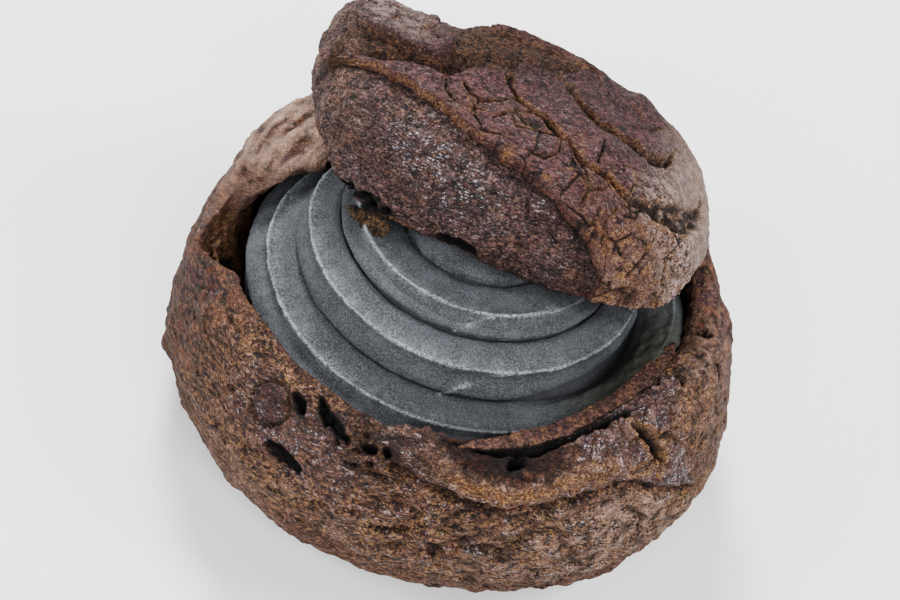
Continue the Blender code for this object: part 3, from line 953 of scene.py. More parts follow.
    @cached_property
    def creases(self) -> Array:
        """Leathery folds of the bare choux, coarser towards the right."""
        coarse = (0.62 + 0.58 * ramp(self.az, 248.0, 280.0) * fade(self.az, 318.0, 342.0)
                  * ramp(self.z, 7.0, 13.0))
        twist = self.flattened + 0.7 * ripple(self.points, 3.0, 20)[..., None]
        folds = folded(twist, 0.45, (0.50, 5.6, 21), (0.50, 2.9, 22), (0.30, 1.5, 23))
        return coarse * folds + 0.08 * ripple(self.points, 0.8, 24)

    @cached_property
    def pores(self) -> Array:
        """Small pits of the bare choux."""
        return pitted(self.flattened, 2.3, 26, 0.26, 0.14, 0.28) * self.bare

    @cached_property
    def craters(self) -> Array:
        """Wider, flatter pits."""
        return pitted(self.flattened, 4.8, 27, 0.22, 0.10, 0.22) * self.bare

    @cached_property
    def rim(self) -> Array:
        """The torn rim along the cream."""
        return bell(self.t + 0.3 * self.wander - 11.2, 0.8) * bump(
            self.az, 260.0, 60.0) ** 0.6

    @cached_property
    def front_dark(self) -> Array:
        """The wall under the front rim, darkened with painted shade and tinted rust."""
        return (self.t < 11.8) * most([
            bump(self.az, 266.0, 20.0) ** 0.7 * ramp(self.z + self.wander, 28.0, 29.8),
            bump(self.az, 279.0, 30.0) ** 0.5 * ramp(self.above + self.wander, 1.7, 2.9)])

    @cached_property
    def notch(self) -> Array:
        """The torn notch at the left."""
        return ramp(self.az, 180.0, 186.0) * fade(
            self.az + 0.5 * (self.z - 24.0), 205.0, 208.0)

    @cached_property
    def torn(self) -> Array:
        """Torn crumb of the inner wall and the notch."""
        return most([ramp(self.t, 11.6, 12.4),
                     self.notch * ramp(self.t, 10.1, 10.6)]) * fade(self.t, 16.0, 18.0)

    @cached_property
    def curled(self) -> Array:
        """The wall that curls inward at the back left."""
        return bump(self.az, 158.0, 27.0) ** 0.5 * ramp(self.t, 7.5, 9.5) * fade(
            self.t, 13.0, 14.0)

    @cached_property
    def streaks(self) -> Array:
        """Streaks along the curled wall."""
        return ripple(np.stack([self.az * 0.5, self.radius, self.z], -1), (7.0, 1.2, 1.2), 41)

    @cached_property
    def blister(self) -> tuple[Array, Array]:
        """The disc of a burst blister, and the grooves round it."""
        c, k = self.spot(239.3, 27.6)
        ring = norm(self.points - self.points[c, k]) + 0.75 * self.wander
        groove = most([deep * bell(ring - r, 0.35) for r, deep in BLISTER_RINGS])
        broken = ramp(ripple(self.points, 3.0, 36) + bump(self.az, 243.0, 4.5), -0.35, 0.25)
        return ramp(3.2 - ring, 0.0, 0.5), groove * broken

    def cuts(self) -> tuple[Array, Array]:
        """Return the depth of the holes and fissures, and how black their painted shade is."""
        depth, black = np.zeros_like(self.z), np.zeros_like(self.z)
        for span, holes in ((OUTER_WALL, BOWL_HOLES), (INNER_WALL, WALL_HOLES)):
            for hole in holes:
                inside, deep = self.dent(hole, span), hole[5]
                depth += deep * ramp(inside, 0.1, 0.45)
                black = np.maximum(black, min(1.0, 0.42 * deep) * ramp(inside, 0.0, 0.15))
        for route, deep, ragged in BOWL_FISSURES:
            off = self.along(route) + ragged * (0.55 * self.wander + 0.25 * self.jag)
            depth += deep * ramp(0.2 - off, 0.0, 0.4) - 0.15 * bell(np.maximum(off, 0.0), 0.5)
            black = np.maximum(black, min(1.0, 0.5 * deep) * ramp(0.45 - off, 0.0, 0.3))
        return depth, black

    def crust_lift(self) -> Array:
        """Return the relief of the sugar crust."""
        p, crust, scorch = self.points, self.crust, self.scorch
        gap, golden = self.cleft
        crack, plate = self.crust_plates
        crumpled = 0.42 * (self.crumple - 0.45) + 0.12 * ripple(p, 0.9, 15)
        lift = crust * (0.95 - 0.45 * scorch - 0.70 * ramp(self.az, 306.0, 336.0)
                        + 0.22 * (plate - 0.5) + crumpled * (1.0 - scorch))
        lift += crust * scorch * rough(p, (0.45, 1.5, 16), (0.30, 0.8, 17))
        lift += 0.55 * self.ridge * (1.0 + 0.4 * ripple(p, 1.2, 18))
        lift += 0.25 * golden * crust * ripple(p, 0.9, 19)
        return lift - 0.5 * crack - 2.6 * gap * crust - (
            0.8 * self.side * bell(self.above + 0.55, 0.5) * self.outer)

    def relief(self) -> Array:
        """Return how far each point stands out of the smooth form, without its holes."""
        p = self.points
        folds = 0.42 * ripple(p, (9.0, 9.0, 1.5), 25) * ramp(22.0 - self.z, 0.0, 8.0)
        lift = self.swell * self.outer * swell_noise(p, self.wave, 1.7)
        lift += self.bare * (self.creases + folds) - 0.45 * self.pores - 0.75 * self.craters
        lift += self.crust_lift()
        lift += self.torn * (folded(p, 0.4, (0.8, 3.6, 31), (0.5, 1.7, 32))
                             + 0.15 * ripple(p, 0.8, 33))
        lift += 0.5 * self.rim * rough(p, (1.0, 1.3, 34), (1.0, 2.8, 35))
        lift += self.curled * (0.40 * self.streaks + folded(p, 0.4, (0.25, 2.4, 42)))
        disc, groove = self.blister
        return lift * (1.0 - 0.6 * disc) + 0.35 * disc - 0.85 * groove

    def paint(self, black: Array) -> dict[Paint, Array]:
        """Return what the finish needs to know, given how black the painted shade of the holes is.
        """
        p, z, t, az, outer = self.points, self.z, self.t, self.az, self.outer
        crust, scorch, ridge = self.crust, self.scorch, self.ridge
        gap, golden = self.cleft
        torn, rim, wander, notch = self.torn, self.rim, self.wander, self.notch
        crack = self.crust_plates[0]
        disc, groove = self.blister
        plum = (bump(az, 248.0, 26.0) ** 0.6 * ramp(z, 20.0, 24.0) * ramp(30.8 - z, 0.0, 1.4)
                * outer * ramp(ripple(p, (5.0, 5.0, 3.0), 68), -0.45, 0.0))
        crumbly = ramp(ripple(p, 0.9, 66), -0.3, 0.35)
        # painted shadow along the slit, under the flake's left end
        slit_shadow = bump(az, 293.0, 19.0) ** 0.5 * ramp(
            1.45 + 0.45 * ripple(p, 1.9, 4) - np.abs(t - 10.5), 0.0, 0.35)
        right_edge = self.side * bell(self.right_end - 0.8 - az - 1.2 * wander, 0.9) * (t < 11.4)
        return {
            Paint.CRUST: most([
                crust * (1.0 - 0.9 * scorch) * (1.0 - 0.8 * golden) * (1.0 - 0.8 * ridge),
                0.6 * plum, 0.8 * disc]),
            Paint.CRUMB: most([
                0.5 * crack, 0.55 * golden * crust, 0.4 * right_edge,
                0.9 * ridge * (0.45 + 0.55 * crumbly) * (1.0 - 0.8 * self.front_dark),
                0.30 * rim * crumbly, 0.35 * torn * notch,
                0.35 * scorch * crumbly * ramp(self.above, 5.0, 6.5)]),
            # painted shade: black in the holes, the slit, pits, cracks, the cleft, creases and the
            # torn wall, under the crust's edge and the rim, in the scorched groove and on the left
            # side
            Paint.PAINTED_SHADE: most([
                black, ramp(self.slit, 0.0, 0.1), 0.92 * slit_shadow, 0.5 * self.pores,
                0.6 * self.craters, 0.7 * crack, 1.2 * gap * crust, 0.75 * groove,
                0.6 * ramp(-self.creases, 0.04, 0.38) * self.bare,
                0.55 * torn * (1.0 - 0.5 * crumbly), 0.40 * disc,
                0.8 * self.front_dark * ramp(ripple(p, 1.5, 62), -0.5, 0.2),
                0.35 * rim * ramp(-wander, -0.2, 0.2),
                0.50 * bump(az, 254.0, 15.0) ** 0.6 * ramp(z + wander, 25.8, 28.4)
                * outer * ramp(ripple(p, 2.2, 53), -0.4, 0.3),
                0.24 * outer * bump(az, 203.0, 50.0),
                0.45 * bump(az, 236.0, 42.0) ** 0.6 * ramp(t + 0.5 * wander, 10.0, 10.9),
                scorch * (0.25 + 0.6 * ramp(ripple(p, 1.3, 67), -0.3, 0.3)),
                0.75 * self.side * bell(self.above + 0.4, 0.4) * outer]),
            # paler patches of the choux's own colour; on the curled wall at the back left and
            # along the rim crest at the left it is painted back light
            Paint.PALE: most([
                0.80 * self.curled * ramp(self.streaks, -0.6, 0.2), 0.3 * golden * crust,
                0.60 * bump(az, 318.0, 40.0) * ramp(self.crust_foot - z, 0.5, 3.0)
                * ramp(z, 11.0, 16.0) * outer * ramp(ripple(p, 2.6, 69), -0.45, 0.30),
                0.14 * bump(az, 290.0, 45.0) * ramp(21.0 - z, 0.0, 4.0) * outer,
                0.24 * bump(az, 236.0, 26.0) * ramp(23.0 - z, 0.0, 4.0) * outer
                * ramp(ripple(p, (5.0, 5.0, 2.5), 54), -0.4, 0.3),
                0.30 * bump(az, 354.0, 24.0) * outer * crumbly,
                0.20 * crust * (1.0 - scorch) * self.crumple,
                0.15 * bump(az, 187.0, 14.0) * bell(t - 9.6, 0.7)]),
            Paint.RUST: most([
                0.9 * rim, 0.95 * scorch * crust, 0.2 * disc, 0.25 * ridge,
                ramp(14.5 + 1.2 * ripple(p, 7.0, 61) - z, 0.0, 2.5) * outer
                * (0.35 + 0.45 * crumbly),
                0.3 * notch * torn * crumbly, 0.45 * self.front_dark,
                0.25 * self.bare * ramp(ripple(p, 8.0, 63), 0.0, 0.5)]),
            Paint.SOFT: most([fade(bump(az, 283.0, 93.0), 0.0, 0.4), self.curled, torn]),
            Paint.GLOSS_AND_PAINTED_HIGHLIGHT: most([
                crust * (1.0 - scorch) * (1.0 - ridge) * (1.0 - golden), 1.1 * plum, 0.5 * disc,
                0.75 * self.bare * ramp(self.creases, -0.1, 0.2) * bump(az, 290.0, 62.0) ** 0.6
                * ramp(z, 10.0, 15.0), 0.15 * self.bare]),
        }

    def skin(self) -> Skin:
        """Return the bowl's finished surface."""
        depth, black = self.cuts()
        lift = self.relief() - depth - 6.5 * self.slit
        moved = self.points + self.normals * lift[..., None]
        moved[..., 2] -= (3.0 * self.notch * ramp(self.t, 10.2, 11.2)
                          * fade(self.t, 12.6, 14.5))
        moved[..., 2] = self.on_foot(moved[..., 2])
        return Skin(moved, self.paint(black))

    def build(self) -> bpy.types.Object:
        """Build the bowl."""
        finish = BakedFinish("dark_choux", stretch=(0.65, 0.65, 2.0))
        return self.skin().build("choux_bowl_skin", "dark_choux", finish, "choux_bowl")


# Lid

# Valley behind the front ridge of crust, in the lid's own frame: ends, depth, half width
LID_GROOVES = (
    (((-24.0, -8.5), (-13.5, -5.0)), 2.0, 2.6), (((-13.5, -5.0), (-3.0, 3.0)), 3.0, 3.6),
    (((-3.0, 3.0), (9.0, 13.0)), 3.0, 4.2),
)
# Outline of the broad plates of crust, and of the flap behind the valley at the left: u, v
LID_PLATES = ((-26.5, -9.0), (-23.5, -7.6), (-20.0, -8.2), (-16.0, -9.6), (-12.5, -9.4),
              (-10.4, -7.8), (-9.8, -4.0), (-8.8, -1.0), (-6.2, -0.2), (-4.8, 4.6), (-2.4, 6.4),
              (0.2, 7.4), (3.0, 10.4), (6.0, 15.2), (3.0, 40.0), (60.0, 40.0), (60.0, -60.0),
              (-30.0, -60.0))
LID_FLAP = ((-40.0, 1.6), (-33.0, -0.6), (-28.2, -2.5), (-23.4, -4.3), (-19.3, -4.9),
            (-16.3, -5.0), (-14.2, -3.0), (-14.8, 0.4), (-18.0, 2.6), (-20.0, 9.0), (-40.0, 9.0))
# Cracks across the crust: route in the lid's frame with its half width, depth, crumb in it
LID_CRACKS = (
    (((-5.8, -0.7, 19.0, 0.3), (-4.2, -5.1, 20.1, 0.35), (-1.3, -6.9, 19.4, 0.35),
      (3.0, -7.7, 19.3, 0.5), (6.3, -10.0, 19.2, 0.55), (7.8, -10.1, 19.3, 0.4),
      (10.8, -12.4, 18.6, 0.35), (13.8, -12.2, 18.3, 0.4), (15.9, -11.8, 17.8, 0.6),
      (18.4, -12.7, 17.1, 0.7), (20.2, -12.6, 16.4, 0.7), (22.5, -10.8, 15.5, 0.9),
      (24.4, -9.7, 15.1, 1.5), (27.2, -7.8, 14.2, 2.0), (29.2, -4.3, 12.6, 2.2),
      (30.6, 1.5, 10.0, 1.4), (30.0, 8.0, 9.0, 0.6)), 1.5, 1.0),
    (((0.6, 7.6, 17.8, 0.3), (2.4, 4.4, 18.6, 0.5), (4.0, 0.9, 20.0, 0.65),
      (8.3, -1.6, 20.0, 0.7), (10.9, -2.7, 19.6, 0.7), (12.8, -1.6, 18.5, 0.9),
      (16.1, -1.0, 17.8, 1.0), (19.6, -1.4, 17.0, 1.0), (21.9, 0.4, 16.4, 0.8),
      (22.9, 3.0, 16.6, 0.5), (22.7, 6.0, 16.3, 0.3)), 1.7, 0.75),
    (((5.5, 15.0, 17.4, 0.5), (7.7, 13.4, 16.4, 0.4), (9.6, 10.8, 17.6, 0.2)), 1.3, 0.4),
    (((14.1, 8.9, 18.1, 0.5), (16.3, 7.4, 17.7, 0.3)), 1.1, 0.3),
    (((-9.9, -10.0, 19.3, 0.1), (-8.0, -11.4, 19.0, 0.18), (-6.2, -11.6, 18.8, 0.2),
      (-4.4, -9.9, 18.7, 0.2), (-2.6, -7.6, 19.4, 0.2), (-1.3, -6.9, 19.4, 0.2)), 0.7, 0.4),
    (((-6.6, -11.8, 18.8, 0.15), (-6.4, -14.4, 18.1, 0.15), (-4.3, -15.7, 17.6, 0.1)), 0.5, 0.3),
    (((-3.5, -13.4, 18.4, 0.1), (-1.7, -10.3, 18.5, 0.15), (0.2, -12.7, 18.5, 0.12),
      (3.6, -11.1, 18.5, 0.15), (6.3, -10.0, 19.2, 0.15)), 0.55, 0.5),
    (((-1.7, -10.3, 18.5, 0.15), (-0.5, -8.9, 19.1, 0.15), (1.5, -7.4, 19.3, 0.2)), 0.55, 0.4),
    (((-12.6, -10.6, 19.0, 0.1), (-11.6, -12.6, 18.2, 0.12), (-9.6, -13.6, 17.8, 0.1)), 0.45, 0.2),
    (((12.3, -5.6, 19.5, 0.12), (13.0, -8.2, 19.1, 0.18), (13.2, -10.6, 18.6, 0.1)), 0.7, 0.0),
    (((6.9, -11.0, 19.0, 0.12), (7.4, -13.3, 18.2, 0.15), (6.2, -15.6, 17.6, 0.12),
      (3.9, -15.9, 17.4, 0.1)), 0.55, 0.6),
    (((10.8, -12.4, 18.6, 0.2), (12.9, -14.3, 17.5, 0.18), (13.9, -16.0, 16.4, 0.18),
      (14.0, -18.0, 15.4, 0.12)), 0.6, 0.6),
    (((13.9, -16.0, 16.4, 0.12), (15.8, -14.6, 17.0, 0.1)), 0.5, 0.3),
    (((20.2, -14.9, 14.4, 0.1), (21.9, -13.7, 14.4, 0.12)), 0.6, 0.0),
    (((24.6, -12.6, 12.6, 0.12), (24.9, -15.2, 9.6, 0.15), (24.0, -17.4, 7.6, 0.12)), 0.5, 0.3),
    (((27.6, -10.2, 10.8, 0.12), (28.3, -12.4, 7.8, 0.15)), 0.5, 0.3),
    (((18.6, -15.2, 14.8, 0.1), (18.0, -17.4, 13.2, 0.12), (18.9, -19.0, 11.2, 0.1)), 0.5, 0.5),
    (((15.4, 3.0, 18.6, 0.12), (17.6, 5.4, 18.2, 0.15), (19.0, 8.4, 16.8, 0.12)), 0.5, 0.0),
    (((-22.0, 11.0, 14.0, 0.5), (-12.0, 13.0, 14.0, 0.7), (-4.0, 19.0, 10.0, 0.6),
      (6.0, 22.0, 8.0, 0.5)), 1.3, 0.7),
    (((12.0, 16.0, 12.0, 0.5), (20.0, 14.0, 11.0, 0.6), (27.0, 10.0, 9.0, 0.5)), 1.4, 0.7),
    (((-26.0, 14.0, 9.0, 0.3), (-20.0, 17.0, 8.0, 0.5), (-16.0, 12.4, 13.0, 0.4)), 1.1, 0.6),
)
# The torn hollow at the front left, as for the cracks
LID_TEAR = ((-19.8, -20.7, 0.9, 0.9), (-17.2, -21.4, 1.4, 1.5), (-14.0, -22.2, 1.6, 1.7),
            (-11.2, -22.8, 1.9, 1.2), (-9.2, -23.0, 2.6, 0.5))
# Middle lines of the shiny streak across the belly, glossier and with painted highlight specks,
# and of the wide break at the right
BELLY_GLOSS = ((-11.5, -19.5, 13.0), (-6.0, -22.0, 11.0), (-1.0, -23.0, 9.5))
GOLD_BREAK = ((24.0, -9.8, 15.2), (28.6, -6.5, 13.3), (30.4, 1.5, 10.5))
# Round blisters of the belly: middle, radius
BELLY_BLISTERS = (((9.8, -19.4, 13.2), 2.9), ((13.8, -20.3, 10.9), 1.7),
                  ((21.6, -20.3, 5.9), 3.3))
# Stations of the lid's body: 0 is the middle of the cut underside, 1 the crown
UNDER_END = 0.28
WAIST = 0.5


@dataclass
class LidForm:
    """The lid's body in its own frame: u to the right, v to the back, w up."""

    half_width: float = 32.0
    half_depth: float = 23.5
    back_depth: float = 27.0
    back_slope: tuple[float, float] = (20.8, 0.84)
    height: float = 13.6
    widest: float = 5.2
    centre: Point = (0.4, 12.6, 38.0)
    lean_back: float = 10.0
    lean_right: float = 5.5
    turn: float = -10.0
    square: float = 0.80

    def axes(self) -> Array:
        """Return the matrix from the lid's own frame to the puff's."""
        turn = Matrix.Rotation(math.radians(self.turn), 4, "Z")
        lean = (Matrix.Rotation(math.radians(self.lean_right), 4, "Y")
                @ Matrix.Rotation(math.radians(-self.lean_back), 4, "X"))
        return np.array(Matrix.Translation(Vector(self.centre)) @ lean @ turn)

    def in_puff(self, points: Array) -> Array:
        """Return points of the lid's frame in the puff's."""
        m = self.axes()
        return points @ m[:3, :3].T + m[:3, 3]

    def underside(self, x: Array, y: Array) -> Array:
        """Return the height of the cut underside above x, y."""
        m = self.axes()
        normal, origin = m[:3, 2], m[:3, 3]
        return origin[2] - (normal[0] * (x - origin[0]) + normal[1] * (y - origin[1])) / normal[2]

    def crust_edge(self, u: Array) -> Array:
        """Return v of the front edge of the crust at u."""
        return -9.0 - 8.6 * ramp(u, -36.0, 8.0) - 2.2 * ramp(u, 2.0, 20.0)

    def body(self, t: Array, azimuth: Array) -> Array:
        """Return the smooth body's points at stations t, underside 0 to crown 1."""
        a = np.radians(azimuth)
        ca, sa = np.cos(a), np.sin(a)
        reach = 1.0 + 0.13 * bump(azimuth, 247.0, 30.0) + 0.06 * bump(azimuth, 334.0, 28.0)
        k0 = np.clip(t / UNDER_END, 0.0, 1.0)
        k1 = np.clip((t - UNDER_END) / (WAIST - UNDER_END), 0.0, 1.0)
        k2 = np.clip((t - WAIST) / (1.0 - WAIST), 0.0, 1.0)
        blunt = bump(azimuth, 176.0, 50.0)
        left = bump(azimuth, 170.0, 36.0)
        lean = bump(azimuth, 28.0, 60.0) * ramp(k2, 0.0, 0.3)
        phi = 0.5 * np.pi * k2
        dome = ((1.0 - 0.10 * lean) * np.maximum(np.cos(phi), 0.0) ** (0.8 - 0.36 * blunt
                                                                       + 0.12 * lean)
                * (1.0 + left * (0.06 + 0.10 * np.sin(np.minimum(2.6 * phi, np.pi)))))
        under = 0.88 * k0 * (1.0 + (reach - 1.0) * k0)
        low = (0.88 + 0.12 * np.sin(0.5 * np.pi * k1)) * (reach + (1.0 - reach) * k1 * k1)
        low *= 1.0 + 0.06 * left * k1 * k1
        f = np.where(t < UNDER_END, under, np.where(t < WAIST, low, dome))
        w = np.where(t < UNDER_END, 0.0, self.widest * (1.0 - np.cos(0.5 * np.pi * k1)))
        rise = (self.height * (1.0 - 0.17 * blunt * fade(k2, 0.7, 1.0))
                * np.sin(phi) ** (0.92 - 0.12 * blunt))
        w = w + np.where(t >= WAIST, rise, 0.0)
        cu = np.copysign(np.abs(ca) ** self.square, ca)
        cv = np.copysign(np.abs(sa) ** self.square, sa)
        u = f * self.half_width * cu
        v = f * np.where(cv < 0.0, self.half_depth, self.back_depth) * cv
        slope = self.back_slope[0] + 7.8 * ramp(u, -26.0, -5.0) - self.back_slope[1] * v
        eased = -1.2 * np.logaddexp(-w / 1.2, -slope / 1.2)
        cut = np.maximum(eased, self.widest * 0.6 + 0.4 * w)
        return np.stack([u, v, np.where((v > 0.0) & (w > self.widest), cut, w)], -1)

    def lean_out(self, p: Array) -> Array:
        """Return the directions in which relief stands out at points of the body."""
        n = np.stack([p[..., 0] / self.half_width ** 2, p[..., 1] / self.half_depth ** 2,
                      np.maximum(p[..., 2] - self.widest, 0.0) / self.height ** 2], -1)
        return n / (norm(n)[..., None] + 1e-9)

    def grooves(self, p: Array) -> Array:
        """Return the depth of the valley behind the front ridge."""
        deep = np.zeros(p.shape[:-1])
        flat = p * np.array([1.0, 1.0, 0.0])
        for ends, depth, width in LID_GROOVES:
            off = beside(flat, [(*end, 0.0) for end in ends])
            deep = np.maximum(deep, depth * np.maximum(0.0, 1.0 - off / width))
        return deep

    def broad(self, t: Array, p: Array) -> Array:
        """Return the broad lumps and the valley, which the solid has too."""
        return ramp(t, 0.3, 0.6) * (0.9 * swell_noise(p, 10.0, 4.3) - self.grooves(p))


@dataclass
class LidBelly:
    """The lid's choux: cut underside, shiny bumpy belly with painted highlight specks, torn hollow
    at the front left.
    """

    form: LidForm
    columns: int = 620

    def __post_init__(self) -> None:
        """Lay out the smooth body that the relief stands on."""
        t = np.concatenate([[0.0, 0.1, 0.18, 0.24],
                            np.linspace(UNDER_END, WAIST, 34, endpoint=False),
                            np.linspace(WAIST, 0.86, 90, endpoint=False),
                            np.linspace(0.86, 1.0, 10)])
        self.t, azimuth = np.meshgrid(t, fan(self.columns, 262.0, 75.0, 2.4))
        self.place = self.form.body(self.t, azimuth)
        self.u, self.v, self.w = np.moveaxis(self.place, -1, 0)
        self.side = ramp(self.t, 0.27, 0.34)  # everything above the cut
        self.up = ramp(self.t, 0.3, 0.6)
        self.jag = ripple(self.place, 1.4, 78)

    @cached_property
    def under(self) -> Array:
        """The cut underside."""
        return ramp(UNDER_END - self.t, 0.0, 0.05)

    @cached_property
    def gloss(self) -> Array:
        """The shiny streak across the belly: glossier, with painted highlight specks."""
        return bell(beside(self.place, BELLY_GLOSS), 5.5)

    @cached_property
    def bumps(self) -> Array:
        """Bumpy choux, calmer where it shines."""
        p = self.place
        warped = p + 0.8 * ripple(p, 3.0, 70)[..., None]
        fine = folded(p, 0.45, (0.20, 1.3, 73)) + 0.07 * ripple(p, 0.7, 74)
        return (folded(warped, 0.45, (0.42, 6.0, 71), (0.30, 2.7, 72))
                + (1.0 - 0.5 * self.gloss) * fine)

    @cached_property
    def pores(self) -> Array:
        """Small pits."""
        return pitted(self.place, 3.1, 75, 0.22, 0.12, 0.25)

    @cached_property
    def tear(self) -> Array:
        """Distance to the torn hollow, less than 0 inside it."""
        return beside(self.place, LID_TEAR) - 0.5 * self.jag

    @cached_property
    def nick(self) -> Array:
        """The nick in the lower edge at the front."""
        off = norm((self.place - np.array([0.6, -23.0, 1.6])) / np.array([3.4, 4.0, 1.8]))
        return ramp(1.1 + 0.2 * self.jag - off, 0.0, 0.4)

    @cached_property
    def ragged(self) -> Array:
        """The ragged lower edge at the right."""
        return ramp(6.0 - self.w, 0.0, 4.0) * self.side * ramp(self.u, 14.0, 24.0)

    @cached_property
    def blisters(self) -> tuple[Array, Array]:
        """Relief of the round blisters, and where they are."""
        p, lift, inside = self.place, 0.0, 0.0
        for centre, size in BELLY_BLISTERS:
            ring = norm(p - np.array(centre)) + 0.3 * ripple(p, 1.8, 77)
            disc = ramp(size - ring, 0.0, 0.6)
            lift = lift + 0.45 * disc - 0.5 * bell(ring - size, 0.35)
            inside = np.maximum(inside, disc)
        return lift, inside

    def paint(self) -> dict[Paint, Array]:
        """Return what the finish needs to know."""
        p, side, under, ragged = self.place, self.side, self.under, self.ragged
        blister = self.blisters[1]
        left = ramp(-self.u, 18.0, 30.0)
        root = ramp(3.0 - self.tear, 0.0, 1.0) * ramp(1.6 - self.w, 0.0, 1.0)
        shade = bell(self.v - self.form.crust_edge(self.u) + 0.2, 0.8) * self.up
        return {
            Paint.CRUMB: most([0.7 * under, 0.55 * ragged * ramp(self.jag, -0.3, 0.4), root,
                               0.35 * left * ramp(ripple(p, 1.7, 83), 0.0, 0.5)]),
            # painted shade in the torn hollow, the nick, the pits and the lows of the bumps, and
            # under the crust's edge
            Paint.PAINTED_SHADE: most([ramp(0.35 - self.tear, 0.0, 0.3), ramp(self.nick, 0.0, 0.3),
                                0.5 * self.pores, 0.45 * ramp(-self.bumps, 0.02, 0.35) * side,
                                0.8 * shade]),
            Paint.RUST: most([0.4 * blister, 0.25 * ramp(ripple(p, 7.0, 84), 0.0, 0.5) * side,
                              0.6 * ragged]),
            Paint.PALE: 0.24 * left * ramp(ripple(p, 2.0, 85), -0.3, 0.5),
            Paint.GLOSS_AND_PAINTED_HIGHLIGHT: most([self.gloss + 0.15 * ramp(ripple(p, 6.0, 76), 0.1, 0.6),
                               0.6 * blister, 0.22]) * side * (1.0 - 0.4 * left),
        }

    def skin(self) -> Skin:
        """Return the belly's finished surface."""
        p = self.place
        covered = ramp(self.v - self.form.crust_edge(self.u), 0.6, 2.4) * ramp(
            self.u, -29.5, -26.0)
        lift = (self.form.broad(self.t, p) + self.side * (self.bumps - 0.5 * self.pores)
                - 2.2 * self.up * covered + self.blisters[0]
                - 4.6 * ramp(-self.tear, -0.1, 0.5) - 2.2 * self.nick
                + self.ragged * rough(p, (0.6, 2.0, 79), (0.4, 1.0, 80)))
        moved = p + self.form.lean_out(p) * lift[..., None]
        moved[..., 2] += self.under * (0.35 * ripple(p, 2.4, 81)
                                       + 0.3 * np.abs(ripple(p, 5.0, 82)))
        return Skin(self.form.in_puff(moved), self.paint())

    def build(self) -> bpy.types.Object:
        """Build the belly."""
        finish = BakedFinish("lid_choux", dark=linear(18, 10, 12), middle=linear(58, 37, 38),
                             plum=linear(58, 37, 46), light=linear(110, 82, 78),
                             gold=linear(132, 100, 72), stretch=(0.75, 1.2, 1.5))
        return self.skin().build("lid_choux_skin", "dark_craquelin", finish, "choux_lid")


@dataclass
class Cracks:
    """The named cracks of the lid's crust."""

    open: Array  # 1 in a crack
    depth: Array  # millimetres
    crumb: Array  # golden crumb in and beside it
    trough: Array  # the hollow that the wide ones lie in


